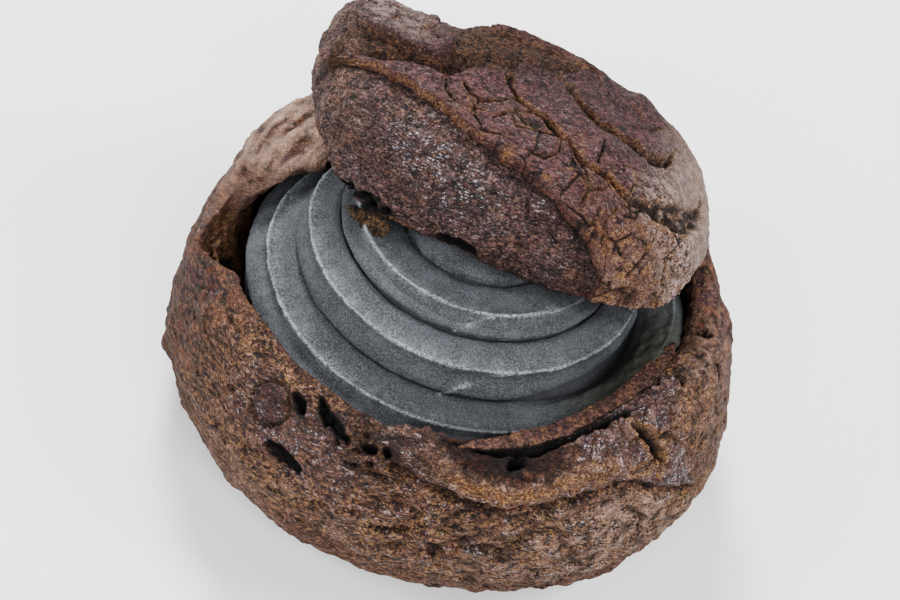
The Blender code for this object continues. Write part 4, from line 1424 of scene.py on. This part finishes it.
@dataclass
class LidCrust:
    """The sugar crust on the lid: a thick rolled edge, wide crumbly cracks, curled plates."""

    form: LidForm
    columns: int = 470
    thickness: float = 1.5
    sunk: float = 1.3
    rings: tuple[int, int, int] = (5, 10, 185)

    def __post_init__(self) -> None:
        """Lay out the smooth body that the relief stands on."""
        hidden, roll, top = self.rings
        azimuth = fan(self.columns, 290.0, 95.0, 2.2)
        self.edge = self.edge_stations(azimuth)[:, None]
        inward = np.linspace(0.0, 1.0, hidden, endpoint=False) * (1.0 - self.edge)
        climb = np.linspace(0.0, 1.0, top) ** 0.94 * (1.0 - self.edge)
        self.t = np.minimum(np.concatenate(
            [1.0 - inward, np.repeat(self.edge, roll, 1), self.edge + climb], 1), 1.0)
        # 0 for the hidden underside, 1 for the rolled edge, 2 for the top
        self.part = np.repeat([0, 1, 2], self.rings)[None, :]
        turn = np.linspace(0.0, 1.0, roll, endpoint=False)
        self.angle = np.concatenate([np.zeros(hidden), turn, np.ones(top)])[None, :] * np.pi
        self.az = np.broadcast_to(azimuth[:, None], self.t.shape)
        self.place = self.form.body(self.t, self.az)
        self.u, self.v, self.w = np.moveaxis(self.place, -1, 0)
        self.wander = rough(self.place, (0.45, 2.4, 92), (0.30, 0.95, 93))
        self.sway = rough(self.place, (0.45, 2.6, 110), (0.30, 1.0, 111))

    def edge_stations(self, azimuth: Array) -> Array:
        """Return the station of the crust's edge at each azimuth."""
        fine = np.linspace(1.0, 0.36, 300)
        t, az = np.meshgrid(fine, azimuth)
        p = self.form.body(t, az)
        wobble = rough(p, (0.45, 4.0, 90), (0.2, 1.7, 91))
        beyond = (p[..., 1] < self.form.crust_edge(p[..., 0]) + wobble) | (
            p[..., 0] < -29.6 + wobble) | (t < 0.43 + 0.012 * wobble)
        return fine[np.where(beyond.any(axis=1), beyond.argmax(axis=1), len(fine) - 1)]

    @cached_property
    def rear(self) -> Array:
        """How far inside the plates of the lid's back each point is."""
        return (self.v - 12.0 - 0.25 * np.abs(self.u + 10.0)
                + 3.0 * ripple(self.place, 7.0, 112))

    @cached_property
    def flap(self) -> Array:
        """How far inside the flap behind the valley each point is."""
        return within(self.u + self.wander, self.v + self.sway, LID_FLAP)

    @cached_property
    def inside(self) -> Array:
        """How far inside any plate each point is."""
        return most([within(self.u + self.wander, self.v + self.sway, LID_PLATES), self.flap,
                     self.rear])

    @cached_property
    def plated(self) -> Array:
        """Where there are plates."""
        return ramp(self.inside, -0.05, 0.45)

    @cached_property
    def cracks(self) -> Cracks:
        """The named cracks."""
        flat = self.place.reshape(-1, 3)
        cracks = Cracks(*(np.zeros_like(self.t) for _ in range(4)))
        for route, deep, filled in LID_CRACKS:
            path = [(*flat[((flat - np.array(q[:3])) ** 2).sum(-1).argmin()], q[3]) for q in route]
            widest = max(q[3] for q in route)
            off = beside(self.place, path) + (0.2 + 0.4 * min(1.0, widest)) * self.wander
            cut = ramp(0.20 - off, 0.0, 0.26)
            cracks.open = np.maximum(cracks.open, cut)
            cracks.depth = np.maximum(cracks.depth, cut * deep)
            cracks.crumb = np.maximum(
                cracks.crumb, filled * ramp(0.5 - off + 0.7 * self.sway, 0.0, 0.4))
            if widest > 0.45:
                cracks.trough = np.maximum(cracks.trough, bell(np.maximum(off, 0.0), 1.5))
        return cracks

    @cached_property
    def tiles(self) -> tuple[Array, Array]:
        """Distance to the border of the middle-sized plates, and one number for each."""
        border, _, plate = plates(self.place + 0.8 * self.wander[..., None], (4.6, 3.4, 4.0), 94)
        return border, plate

    @cached_property
    def finely(self) -> Array:
        """Where the crust is finely cracked."""
        u, v = self.u, self.v
        return most([ramp(-8.0 - v + 0.2 * u, 0.0, 3.0) * ramp(u, -14.0, -8.0),
                     ramp(-u - 14.0, 0.0, 4.0) * ramp(v, -4.0, 0.0),
                     0.8 * ramp(self.rear, 0.0, 2.0)]) * ramp(
                         ripple(self.place, 5.0, 97), -0.35, 0.0)

    @cached_property
    def hairlines(self) -> Array:
        """The fine cracks themselves."""
        thin, _, chip = plates(self.place + 0.7 * self.sway[..., None], 2.1, 95)
        return self.finely * most([
            ramp(0.055 - self.tiles[0], 0.0, 0.04) * ramp(chip, 0.1, 0.4),
            0.75 * ramp(0.070 - thin, 0.0, 0.05) * ramp(self.sway, 0.05, 0.3)])

    @cached_property
    def gold(self) -> Array:
        """Golden crumb of the wide break at the right."""
        return ramp(self.u, 22.0, 25.0) * ramp(self.w, 9.0, 12.0) * ramp(
            3.4 - beside(self.place, GOLD_BREAK), 0.0, 1.6)

    @cached_property
    def crumble(self) -> Array:
        """Crumbs of the breaks."""
        return rough(self.place, (0.45, 2.4, 98), (0.36, 1.2, 99), (0.24, 0.7, 100))

    @cached_property
    def tip(self) -> Array:
        """The lid's low tip at the right."""
        return ramp(self.u, 16.0, 26.0) * ramp(9.5 - self.w, 0.0, 5.0)

    @cached_property
    def lip(self) -> Array:
        """The top just behind the rolled edge."""
        return np.exp(-np.maximum((self.t - self.edge) * 40.0, 0.0) * 0.8)

    @cached_property
    def leaves(self) -> tuple[Array, Array]:
        """Thin leaves of crust, and where the flap has them."""
        leaf = ramp(ripple(self.place, (5.0, 1.3, 1.6), 101), 0.02, 0.10) + ramp(
            ripple(self.place, (3.4, 0.9, 1.2), 102), 0.05, 0.12)
        return leaf, ramp(self.flap, 0.0, 1.0) * ramp(
            self.v - 1.6 + 0.15 * (self.u + 24.0), -0.6, 1.0)

    @cached_property
    def bare(self) -> Array:
        """Crumb that shows between and beside the plates."""
        return most([1.0 - self.plated, self.gold, 0.8 * self.tip])

    def relief(self) -> Array:
        """Return how far the top stands out."""
        p, cracks, plated = self.place, self.cracks, self.plated
        leaf, leafy = self.leaves
        smooth = (rough(p, (0.20, 5.0, 103), (0.07, 2.0, 104), (0.05, 0.6, 96))
                  + folded(p, 0.4, (0.10, 1.1, 105)) + 0.16 * self.finely * (self.tiles[1] - 0.5))
        relief = smooth * (1.0 - 0.6 * self.bare) + 1.15 * self.bare * self.crumble
        relief += -1.9 * (1.0 - plated) + 0.45 * ramp(self.flap, 0.0, 0.5)
        relief += 0.20 * plated * np.exp(-np.maximum(self.inside, 0.0) / 0.8)
        relief += 0.17 * leafy * leaf - 0.40 * cracks.trough * plated
        relief += 0.45 * self.lip * ramp(self.u, -26.0, -20.0)
        relief -= most([cracks.depth, 0.4 * self.hairlines]) * plated
        return relief + 0.35 * cracks.open * ripple(p, 0.9, 106)

    def paint(self) -> dict[Paint, Array]:
        """Return what the finish needs to know."""
        p, cracks, plated, gold, tip = self.place, self.cracks, self.plated, self.gold, self.tip
        u, v, w, crumble, wander = self.u, self.v, self.w, self.crumble, self.wander
        leaf, leafy = self.leaves
        rolled = self.part == 1
        middle = ramp(u, -10.0, 2.0)
        return {
            Paint.CRUST: plated * (1.0 - 0.8 * cracks.open) * (1.0 - gold) * (1.0 - 0.5 * tip),
            Paint.CRUMB: most([
                0.20 * (1.0 - plated) * ramp(crumble, 0.0, 0.4), gold,
                cracks.crumb * (0.35 + 0.45 * ramp(u, 8.0, 26.0)),
                0.35 * tip * ramp(crumble, -0.2, 0.3),
                0.40 * ramp(u, 6.0, 22.0) * ramp(16.5 - w, 0.0, 5.0) * ramp(crumble, -0.35, 0.25),
                0.45 * ramp(0.16 - self.tiles[0], 0.0, 0.08) * self.finely
                * ramp(wander, -0.1, 0.3), 0.3 * rolled * (1.0 - middle)]),
            # painted shade in the cracks and hairlines, on the crumb between the plates, on the
            # hidden underside, under the rolled edge and over the top towards the back
            Paint.PAINTED_SHADE: most([
                0.95 * cracks.open * ramp(-wander, -0.4, 0.1), 0.95 * self.hairlines,
                most([0.95 * ramp(-crumble, 0.0, 0.45), 0.60 * (1.0 - plated)])
                * self.bare * (1.0 - 0.5 * gold),
                0.6 * (self.part == 0), 0.30 * ramp(v, -9.0, -1.0),
                0.5 * rolled * fade(self.angle, 0.3, 1.2)]),
            # painted rim light on the flap's leaves and at the lid's left and right ends; the flap
            # and golden crumb are paler
            Paint.PALE: most([
                0.64 * leafy * ramp(leaf, 0.0, 1.2) * ramp(-u, 13.0, 25.0),
                0.60 * ramp(self.flap, 0.2, 1.6) * ramp(ripple(p, 2.2, 108), -0.8, 0.2)
                * ramp(-u, 14.0, 27.0),
                0.30 * ramp(-u, 25.0, 31.0) * ramp(v, -9.0, -4.0), 0.35 * gold,
                0.80 * ramp(u, 16.0, 28.0) * ramp(v, -17.0, -8.0),
                0.22 * ramp(u, 14.0, 24.0) * ramp(13.0 - w, 0.0, 4.0)
                * ramp(crumble, -0.3, 0.3)]),
            Paint.RUST: most([
                0.5 * rolled * middle, 0.4 * self.lip * middle * ramp(wander, -0.3, 0.3),
                0.15 * rolled, 0.4 * tip, 0.25 * cracks.crumb * ramp(u, -4.0, 10.0),
                0.45 * (1.0 - plated)]),
            Paint.SOFT: 0.5 * ramp(u, 16.0, 28.0) * ramp(v, -10.0, 0.0),
            Paint.GLOSS_AND_PAINTED_HIGHLIGHT: 0.22 * plated * ramp(ripple(p, 3.0, 109), -0.4, 0.4) * (1.0 - gold),
        }

    def skin(self) -> Skin:
        """Return the crust's finished surface."""
        p, t = self.place, self.t
        half, middle = 0.5 * (self.thickness + self.sunk), 0.5 * (self.thickness - self.sunk)
        spill = np.where(self.part == 1, np.sin(self.angle), 0.0)
        lift = (middle - half * np.cos(self.angle) + self.form.broad(t, p)
                + (self.part == 2) * self.relief() + 0.4 * spill * self.crumble)
        out = p - self.form.body(np.minimum(t + 0.02, 1.0), self.az)
        out /= norm(out)[..., None] + 1e-9
        reach = 0.75 * spill * (1.0 + 0.4 * ripple(p, 1.6, 107))
        moved = p + self.form.lean_out(p) * lift[..., None] + out * reach[..., None]
        return Skin(self.form.in_puff(moved), self.paint())

    def build(self) -> bpy.types.Object:
        """Build the crust."""
        finish = BakedFinish("lid_crust", tan=linear(168, 146, 137), stretch=(0.75, 1.25, 1.25))
        return self.skin().build("lid_crust_skin", "dark_craquelin", finish)


# Cream

# Lines of the piped rope from the wall inward: radius, height and whether it is a crest
CREAM_LINES = ((34.6, 25.4, False), (31.2, 28.6, True), (27.5, 31.2, False), (25.8, 36.2, True),
               (21.9, 38.7, False), (19.2, 40.8, True), (12.7, 40.4, False), (5.0, 42.6, True))
# The part hidden in the bowl, from the middle out: radius, height
CREAM_WALL = ((0.0, 7.3), (10.0, 7.6), (20.0, 9.4), (28.2, 13.5), (32.8, 18.9), (34.1, 22.2))
# Thin ridges that branch off the crests: azimuth, radius, height
CREAM_BRANCHES = (
    ((287.5, 19.2, 41.0), (282.0, 19.9, 40.5), (276.8, 20.6, 39.6), (273.0, 21.0, 38.6)),
    ((295.0, 25.8, 36.4), (288.2, 26.3, 35.4), (282.9, 26.7, 34.2), (278.1, 26.9, 32.7),
     (274.0, 26.9, 30.9)),
)


@dataclass
class Ribs:
    """What the piped rope's ribs do at each point."""

    # the crests' brightness is painted highlight
    crest: Array  # the sharp, bright edges
    halo: Array  # their wide flanks
    crease: Array  # the dark folds between them
    lip: Array  # the bead beside each fold


@dataclass
class SesameSwirl:
    """The piped swirl of sesame cream: a rope whose sharp crests lean over deep creases."""

    bowl: ChouxBowl
    lid: LidForm
    columns: int = 470

    def section(self) -> tuple[Array, list[int], list[int]]:
        """Return the half section, and which of its points are crests and creases."""
        rows, crests, creases = list(CREAM_WALL), [], []
        lines = [np.array(line[:2]) for line in CREAM_LINES]
        for i, (_, _, crest) in enumerate(CREAM_LINES):
            here = lines[i]
            after = lines[i + 1] if i + 1 < len(lines) else np.array((0.0, 42.0))
            before = lines[i - 1] if i else np.array((35.0, 20.0))
            across, run = after - before, after - here
            face = np.array((across[1], -across[0])) / np.hypot(*across)
            side = np.array((run[1], -run[0])) / np.hypot(*run)
            if crest:
                crests.append(len(rows))
                first, rest = here + 0.55 * face, ((0.2, 0.0), (0.45, -0.25), (0.78, -0.2))
            else:
                creases.append(len(rows))
                first = here - 0.95 * face + 0.06 * run
                rest = ((0.10, 0.35), (0.36, 0.45), (0.72, -0.12))
            rows += [tuple(first), *(tuple(here + f * run + out * side) for f, out in rest)]
        rows[-1] = (0.0, 42.2)
        return np.array(rows), crests, creases

    def __post_init__(self) -> None:
        """Lay out the smooth swirl, which leans and rises against the wall at the right."""
        rows, crests, creases = self.section()
        hidden, last, named = len(CREAM_WALL), len(rows) - 1, {*crests, *creases}
        t = spread([2] * hidden + [3 if i > last - 8 else 9 if named & {i, i + 1} else 5
                                   for i in range(hidden, last)])
        mean = spline_rows(rows[None], t)[0]
        run = np.concatenate([[0.0], np.cumsum(np.hypot(*np.diff(mean, axis=0).T))])
        self.t, self.run = t, run  # station of each ring, and length up to it
        self.azimuth = fan(self.columns, 265.0, 95.0, 2.2)
        self.az = az = self.azimuth[:, None]
        a = np.radians(az)
        wander = ramp(t, 6.5, 9.0) * fade(t, last - 3.0, last) * (
            0.35 * np.sin(a + 0.6) + 0.25 * np.sin(2.0 * a + 2.1) - 1.5 * bump(az, 155.0, 36.0))
        edge = ramp(t, 5.2, 7.5) * fade(t, 10.0, 14.5)
        radius = np.maximum(mean[:, 0] + wander, 0.0) + 1.2 * bump(az, 4.0, 50.0) * edge
        self.points = round_points(az, radius, mean[:, 1] + 3.8 * bump(az, 348.0, 58.0) * edge)
        # places for patterns that run along the rope
        self.tube = np.stack(np.broadcast_arrays(27.0 * np.cos(a), 27.0 * np.sin(a),
                                                 run * 0.22), -1)
        self.feather = rough(self.tube, (0.5, (0.7, 0.7, 1.0), 121), (0.4, 0.45, 122),
                             (0.4, 2.2, 123))
        self.at, self.dips = (np.interp(spots, t, run) for spots in (crests, creases))
        self.piped = ramp(t, 6.2, 7.0)  # everything but the part hidden in the bowl

    @cached_property
    def ribs(self) -> Ribs:
        """The rope's ribs."""
        off_crest = [self.run - c + 0.10 * self.feather for c in self.at[:3]]
        off_dip = [self.run - c + 0.10 * self.feather for c in self.dips[1:]]
        return Ribs(
            crest=sum(bell(off, 0.26) for off in off_crest) * (
                0.75 + 0.45 * ripple(self.tube, 5.0, 120)),
            halo=sum(bell(off, np.where(off > 0.0, 1.9, 1.1)) for off in off_crest),
            crease=sum(bell(off + 0.12, 0.26) for off in off_dip),
            lip=sum(bell(off - 0.42, 0.28) for off in off_dip))

    @cached_property
    def olive(self) -> Array:
        """The greenish tint at the right: painted reflected light in shade."""
        return bump(self.az, 340.0, 36.0) ** 0.5 * fade(self.t, 12.2, 13.6) * self.piped

    @cached_property
    def recess(self) -> Array:
        """The deep fold beside that tint."""
        return bump(self.az, 341.0, 46.0) ** 0.6 * bell(self.t - 14.2, 1.3)

    @cached_property
    def branch(self) -> Array:
        """Thin ridges that branch off the crests."""
        routes = [[tuple(round_points(*spot)) for spot in route] for route in CREAM_BRANCHES]
        return most([bell(beside(self.points, route) + 0.2 * self.feather, 0.38)
                     for route in routes])

    @cached_property
    def pits(self) -> Array:
        """Small bubbles."""
        return pitted(self.points, 1.9, 130, 0.16, 0.08, 0.22) * self.piped

    def relief(self) -> Array:
        """Return how far each point stands out of the smooth swirl."""
        p, ribs, feather = self.points, self.ribs, self.feather
        lift = self.piped * (
            rough(p, (0.25, 6.0, 124), (0.10, 2.4, 125), (0.05, 0.7, 126))
            + feather * (0.03 + 0.07 * np.minimum(ribs.halo, 1.0))
            + 0.30 * ribs.crest * (1.0 + 0.4 * feather) + 0.16 * ribs.lip
            - 0.65 * ribs.crease * (1.0 + 0.4 * ripple(self.tube, 2.4, 127)))
        lift += 0.30 * self.branch - 3.4 * self.recess - 0.3 * self.pits
        return lift + self.olive * rough(p, (0.55, 2.3, 128), (0.3, 1.1, 129))

    def held(self, moved: Array) -> Array:
        """Return the points kept inside the bowl's wall and under the lid."""
        z = self.points[..., 2]
        shelf = self.bowl.outlines(self.azimuth)[:, 12:16]
        wall = np.stack([np.interp(z[i], shelf[i, ::-1, 1], shelf[i, ::-1, 0] - 0.5)
                         for i in range(self.columns)])
        radius = np.hypot(moved[..., 0], moved[..., 1])
        in_bowl = (self.t > 5.0) & (z <= shelf[:, :1, 1] + 1.0)
        kept = np.where(in_bowl, np.minimum(radius, wall), radius)
        moved[..., :2] *= (kept / np.maximum(radius, 1e-6))[..., None]
        roof = self.lid.underside(moved[..., 0], moved[..., 1]) - 0.35
        moved[..., 2] = np.where(self.t > 6.0, np.minimum(moved[..., 2], roof),
                                 moved[..., 2])
        return moved

    def paint(self) -> dict[Paint, Array]:
        """Return what the finish needs to know."""
        t, az, piped, olive = self.t, self.az, self.piped, self.olive
        ribs, feather = self.ribs, self.feather
        shadow = (0.42 * bump(az, 290.0, 66.0) * fade(t, 12.0, 17.0)
                  + 0.12 * bump(az, 290.0, 64.0) + 0.14 * bump(az, 203.0, 46.0)) * piped
        return {
            # painted highlight on the crests, their flanks, the lips beside the folds and the
            # branches
            Paint.PALE: most([
                piped * np.minimum(ribs.crest, 1.0) * (0.9 + 0.4 * feather) * (1.0 - olive),
                0.30 * piped * np.minimum(ribs.halo, 1.0) * ramp(feather, -0.5, 0.5)
                * (1.0 - olive),
                0.45 * piped * ribs.lip * ramp(feather, -0.6, 0.3) * (1.0 - olive),
                0.8 * self.branch]),
            Paint.RUST: piped * ribs.crease * 0.8 * bump(az, 290.0, 60.0),
            # painted greenish reflected light at the right
            Paint.CRUMB: olive,
            # painted shade in the recess, pits and folds, and on the right side under the lid
            Paint.PAINTED_SHADE: most([
                0.95 * self.recess, 0.5 * self.pits, 0.46 * bump(az, 336.0, 44.0) * piped, shadow,
                0.75 * np.minimum(ribs.crease, 1.0) * piped,
                0.45 * olive * ramp(-ripple(self.points, 1.9, 131), -0.1, 0.5)]),
        }

    def skin(self) -> Skin:
        """Return the swirl's finished surface."""
        moved = self.points + outward(self.points) * self.relief()[..., None]
        return Skin(self.held(moved), self.paint())

    def build(self) -> bpy.types.Object:
        """Build the swirl."""
        return self.skin().build("sesame_cream_skin", "sesame_cream", CreamFinish(),
                                 "sesame_cream")


# Loose pieces


def slab(middle: Array, across: Array, up: Array, half_width: Array, half_height: Array,
         columns: int, flatness: float = 0.55) -> tuple[Array, Array]:
    """Return a long closed form, and the angle of each of its points round the middle line.

    Args:
        middle: Points of its middle line.
        across: Its sideways direction at each.
        up: Its upward direction at each.
        half_width: Half its width at each.
        half_height: Half its height at each.
        columns: Points round it.
        flatness: 1 is an oval section, less is squarer.

    Returns:
        Grid of columns and rings, and the angles.
    """
    angle = np.linspace(0.0, 2.0 * np.pi, columns, endpoint=False)[:, None]
    c, s = np.cos(angle), np.sin(angle)
    side = np.copysign(np.abs(c) ** flatness, c)
    rise = np.copysign(np.abs(s) ** flatness, s)
    grid = (middle[None] + (side * half_width)[..., None] * across[None]
            + (rise * half_height)[..., None] * up[None])
    return grid, np.broadcast_to(angle, grid.shape[:2])


@dataclass
class CrustFlake:
    """The thin flake of crust that lies along the bowl's inner rim at the front right."""

    # azimuth, inner radius, outer radius, height
    course: tuple[tuple[float, float, float, float], ...] = (
        (280.6, 36.4, 36.5, 32.4), (283.5, 35.3, 36.9, 32.9), (289.0, 34.3, 37.0, 33.1),
        (296.0, 33.3, 36.6, 33.2), (302.5, 32.9, 36.0, 33.3), (308.0, 32.6, 35.6, 33.5),
        (313.0, 32.3, 35.1, 33.6), (321.0, 32.0, 34.5, 33.6), (329.0, 31.9, 34.5, 33.6),
        (337.0, 31.8, 34.9, 33.4), (343.0, 31.9, 35.2, 33.2), (350.0, 32.6, 35.3, 32.8),
        (355.0, 33.8, 34.9, 32.2))
    half_thickness: float = 0.5

    def build(self) -> bpy.types.Object:
        """Build the flake."""
        rows = np.array(self.course)
        line = spline_rows(rows[None], np.linspace(0.0, len(rows) - 1.0, 520))[0]
        az, inner, outer, height = line.T
        wobble = round_points(az, outer, height)
        inner = inner + rough(wobble, (0.45, 2.6, 140), (0.25, 1.1, 141))
        outer = outer + rough(wobble, (0.35, 2.2, 142), (0.2, 0.9, 143))
        middle = round_points(az, 0.5 * (inner + outer), height) - np.array([0.0, 0.45, 0.5])
        across = round_points(az, np.ones_like(az), np.full_like(az, 0.12))
        up = round_points(az, np.full_like(az, -0.12), np.ones_like(az))
        ends = np.sin(np.pi * np.linspace(0.0, 1.0, len(az))) ** 0.25
        half = np.maximum(0.5 * (outer - inner), 0.05) * ends
        grid, angle = slab(middle, across, up, half, self.half_thickness * ends, 96)
        top = ramp(np.sin(angle), 0.1, 0.6)
        wander = rough(grid, (0.4, 1.8, 144), (0.25, 0.8, 145))
        border, _, plate = plates(grid + 0.8 * wander[..., None], 3.2, 146)
        seam = ramp(0.045 - border, 0.0, 0.04) * ramp(wander, -0.1, 0.2)
        crumble = rough(grid, (0.5, 1.3, 147), (0.4, 0.7, 148))
        lift = 0.15 * wander + top * (0.2 * (plate - 0.5) - 0.45 * seam + 0.22 * crumble)
        grid = grid + outward(grid) * lift[..., None]
        rim = 1.0 - top * ramp(1.0 - np.abs(np.cos(angle)), 0.02, 0.2)
        paint = {
            Paint.CRUST: np.full_like(angle, 0.85),
            Paint.CRUMB: most([0.3 * top * ramp(crumble, -0.1, 0.4), 0.3 * rim]),
            Paint.RUST: most([0.15 * top, 0.35 * rim]),
            # painted shade on the flake's underside and outer edge, in its seams and in the lows
            # of its crumb
            Paint.PAINTED_SHADE: most([0.95 * ramp(0.45 - np.sin(angle), 0.0, 0.5), 0.75 * seam * top,
                                0.9 * ramp(np.cos(angle), 0.85, 0.97),
                                0.4 * top * ramp(-crumble, 0.05, 0.4)]),
        }
        finish = BakedFinish("flake_crust", crust_light=linear(70, 44, 40),
                             rust=linear(72, 36, 24))
        return Skin(grid, paint).build("crust_flake", "dark_choux", finish)


@dataclass
class TornCrumb:
    """The flap of golden crumb that hangs from the torn hollow of the lid."""

    middle: tuple[Point, ...] = ((-19.8, -7.5, 42.4), (-18.4, -7.6, 42.0), (-16.6, -8.3, 41.9),
                                 (-14.8, -9.0, 42.2), (-12.8, -10.0, 43.0))
    half_width: float = 1.5
    half_thickness: float = 0.5

    def build(self) -> bpy.types.Object:
        """Build the flap."""
        line = spline_rows(np.array(self.middle)[None], np.linspace(0.0, 4.0, 150))[0]
        along = np.gradient(line, axis=0)
        along /= norm(along)[:, None]
        across = np.cross(along, np.array([-0.25, -0.75, 0.6]))
        across /= norm(across)[:, None]
        up = np.cross(across, along)
        ends = np.sin(np.pi * np.linspace(0.0, 1.0, len(line))) ** 0.5
        tatter = ends * (0.7 + 0.9 * np.linspace(0.0, 1.0, len(line))
                         + rough(line, (0.3, 2.2, 149), (0.2, 0.9, 148)))
        grid, angle = slab(line, across, up, self.half_width * tatter,
                           self.half_thickness * ends, 110, 0.8)
        run = np.concatenate([[0.0], np.cumsum(norm(np.diff(line, axis=0)))])
        strands = np.stack([np.broadcast_to(run, angle.shape),
                            0.35 * self.half_width * np.cos(angle), np.sin(angle)], -1)
        fibres = ripple(strands, (0.55, 1.2, 1.2), 150) + 0.5 * ripple(grid, 1.7, 151)
        lift = 0.5 * fibres + 0.25 * ripple(grid, 0.7, 152)
        grid = grid + outward(grid) * lift[..., None]
        paint = {Paint.CRUMB: 0.08 + 0.60 * ramp(np.cos(angle), 0.4, 0.95) + 0.35 * fibres,
                 # painted shade in the lows of the fibres and along the flap's upper side
                 Paint.PAINTED_SHADE: most([0.8 * ramp(-lift, -0.1, 0.35),
                                     0.85 * ramp(-np.cos(angle), 0.2, 0.8)])}
        finish = BakedFinish("torn_crumb", middle=linear(50, 29, 20), plum=linear(44, 26, 22),
                             light=linear(104, 80, 54), gold=linear(130, 100, 60),
                             rust=linear(34, 20, 13))
        return Skin(grid, paint).build("torn_crumb", "dark_craquelin", finish)


# Studio


@dataclass(frozen=True)
class Lamp:
    """A soft area light: where it stands, its size and its power."""

    name: str
    place: Point
    size: float
    power: float

    def hang(self, aim: Vector) -> None:
        """Add the light, turned to what it lights."""
        data = bpy.data.lights.new(self.name, "AREA")
        data.shape = "DISK"
        data.size = self.size
        data.energy = self.power
        lamp = placed(self.name, data)
        lamp.location = self.place
        lamp.rotation_euler = (aim - Vector(self.place)).to_track_quat("-Z", "Y").to_euler()


@dataclass
class Studio:
    """Pale floor, soft lights and the camera at the photograph's angle."""

    aim: Point = (-0.0010, 0.0012, 0.0200)
    elevation: float = 48.0
    roll: float = 18.3
    lens: float = 80.0
    distance: float = 0.32258
    lamps: tuple[Lamp, ...] = (
        Lamp("back_light", (-0.20, 0.40, 0.46), 0.22, 8.6),
        Lamp("left_light", (-0.46, -0.18, 0.34), 0.22, 2.6),
        Lamp("front_light", (0.24, -0.48, 0.52), 0.34, 4.6),
        Lamp("gloss_light", (-0.18, -0.52, 0.42), 0.16, 2.0),
        Lamp("right_light", (0.44, 0.06, 0.46), 0.24, 4.0),
    )

    def floor(self) -> None:
        """Add the pale floor."""
        bm = bmesh.new()
        bmesh.ops.create_grid(bm, x_segments=1, y_segments=1, size=3.0)
        mesh = bpy.data.meshes.new("floor")
        bm.to_mesh(mesh)
        bm.free()
        floor = placed("floor", mesh)
        r = Recipe("pale_floor")
        haze = r.grain(60.0, 2.0)
        r.dress(r.mix(haze, (0.88, 0.88, 0.88), (0.92, 0.92, 0.92)), 0.7 + 0.1 * haze, haze, 0.01,
                {"Specular IOR Level": 0.2})
        mesh.materials.append(r.material)

    def camera(self) -> None:
        """Add the camera."""
        data = bpy.data.cameras.new("camera")
        data.lens = self.lens
        data.sensor_width = 36.0
        data.clip_start = 0.01
        e = math.radians(self.elevation)
        back = Vector((0.0, -math.cos(e), math.sin(e)))
        up = Vector((0.0, math.sin(e), math.cos(e)))
        frame_axes = Matrix(((1.0, 0.0, 0.0), up, back)).transposed().to_4x4()
        camera = placed("camera", data)
        camera.matrix_world = (Matrix.Translation(Vector(self.aim) + back * self.distance)
                               @ frame_axes @ Matrix.Rotation(math.radians(self.roll), 4, "Z"))
        bpy.context.scene.camera = camera

    def set_up(self) -> None:
        """Add the floor, the lights and the camera."""
        self.camera()
        self.floor()
        for lamp in self.lamps:
            lamp.hang(Vector(self.aim))
        world = bpy.data.worlds.new("soft_room")
        world.use_nodes = True
        sky = world.node_tree.nodes["Background"]
        sky.inputs["Color"].default_value = (1.0, 1.0, 1.0, 1.0)
        sky.inputs["Strength"].default_value = 0.32
        bpy.context.scene.world = world


def main() -> None:
    """Build the studio and the puff, and report each piece."""
    logging.basicConfig(level=logging.INFO, format="%(name)s: %(message)s")
    Studio().set_up()
    bowl, form = ChouxBowl(), LidForm()
    for part in (bowl, SesameSwirl(bowl, form), LidBelly(form), LidCrust(form), CrustFlake(),
                 TornCrumb()):
        piece = part.build()
        LOG.info("%s: %d faces, rides on root", piece.name, len(piece.data.polygons))


if __name__ == "__main__":
    main()
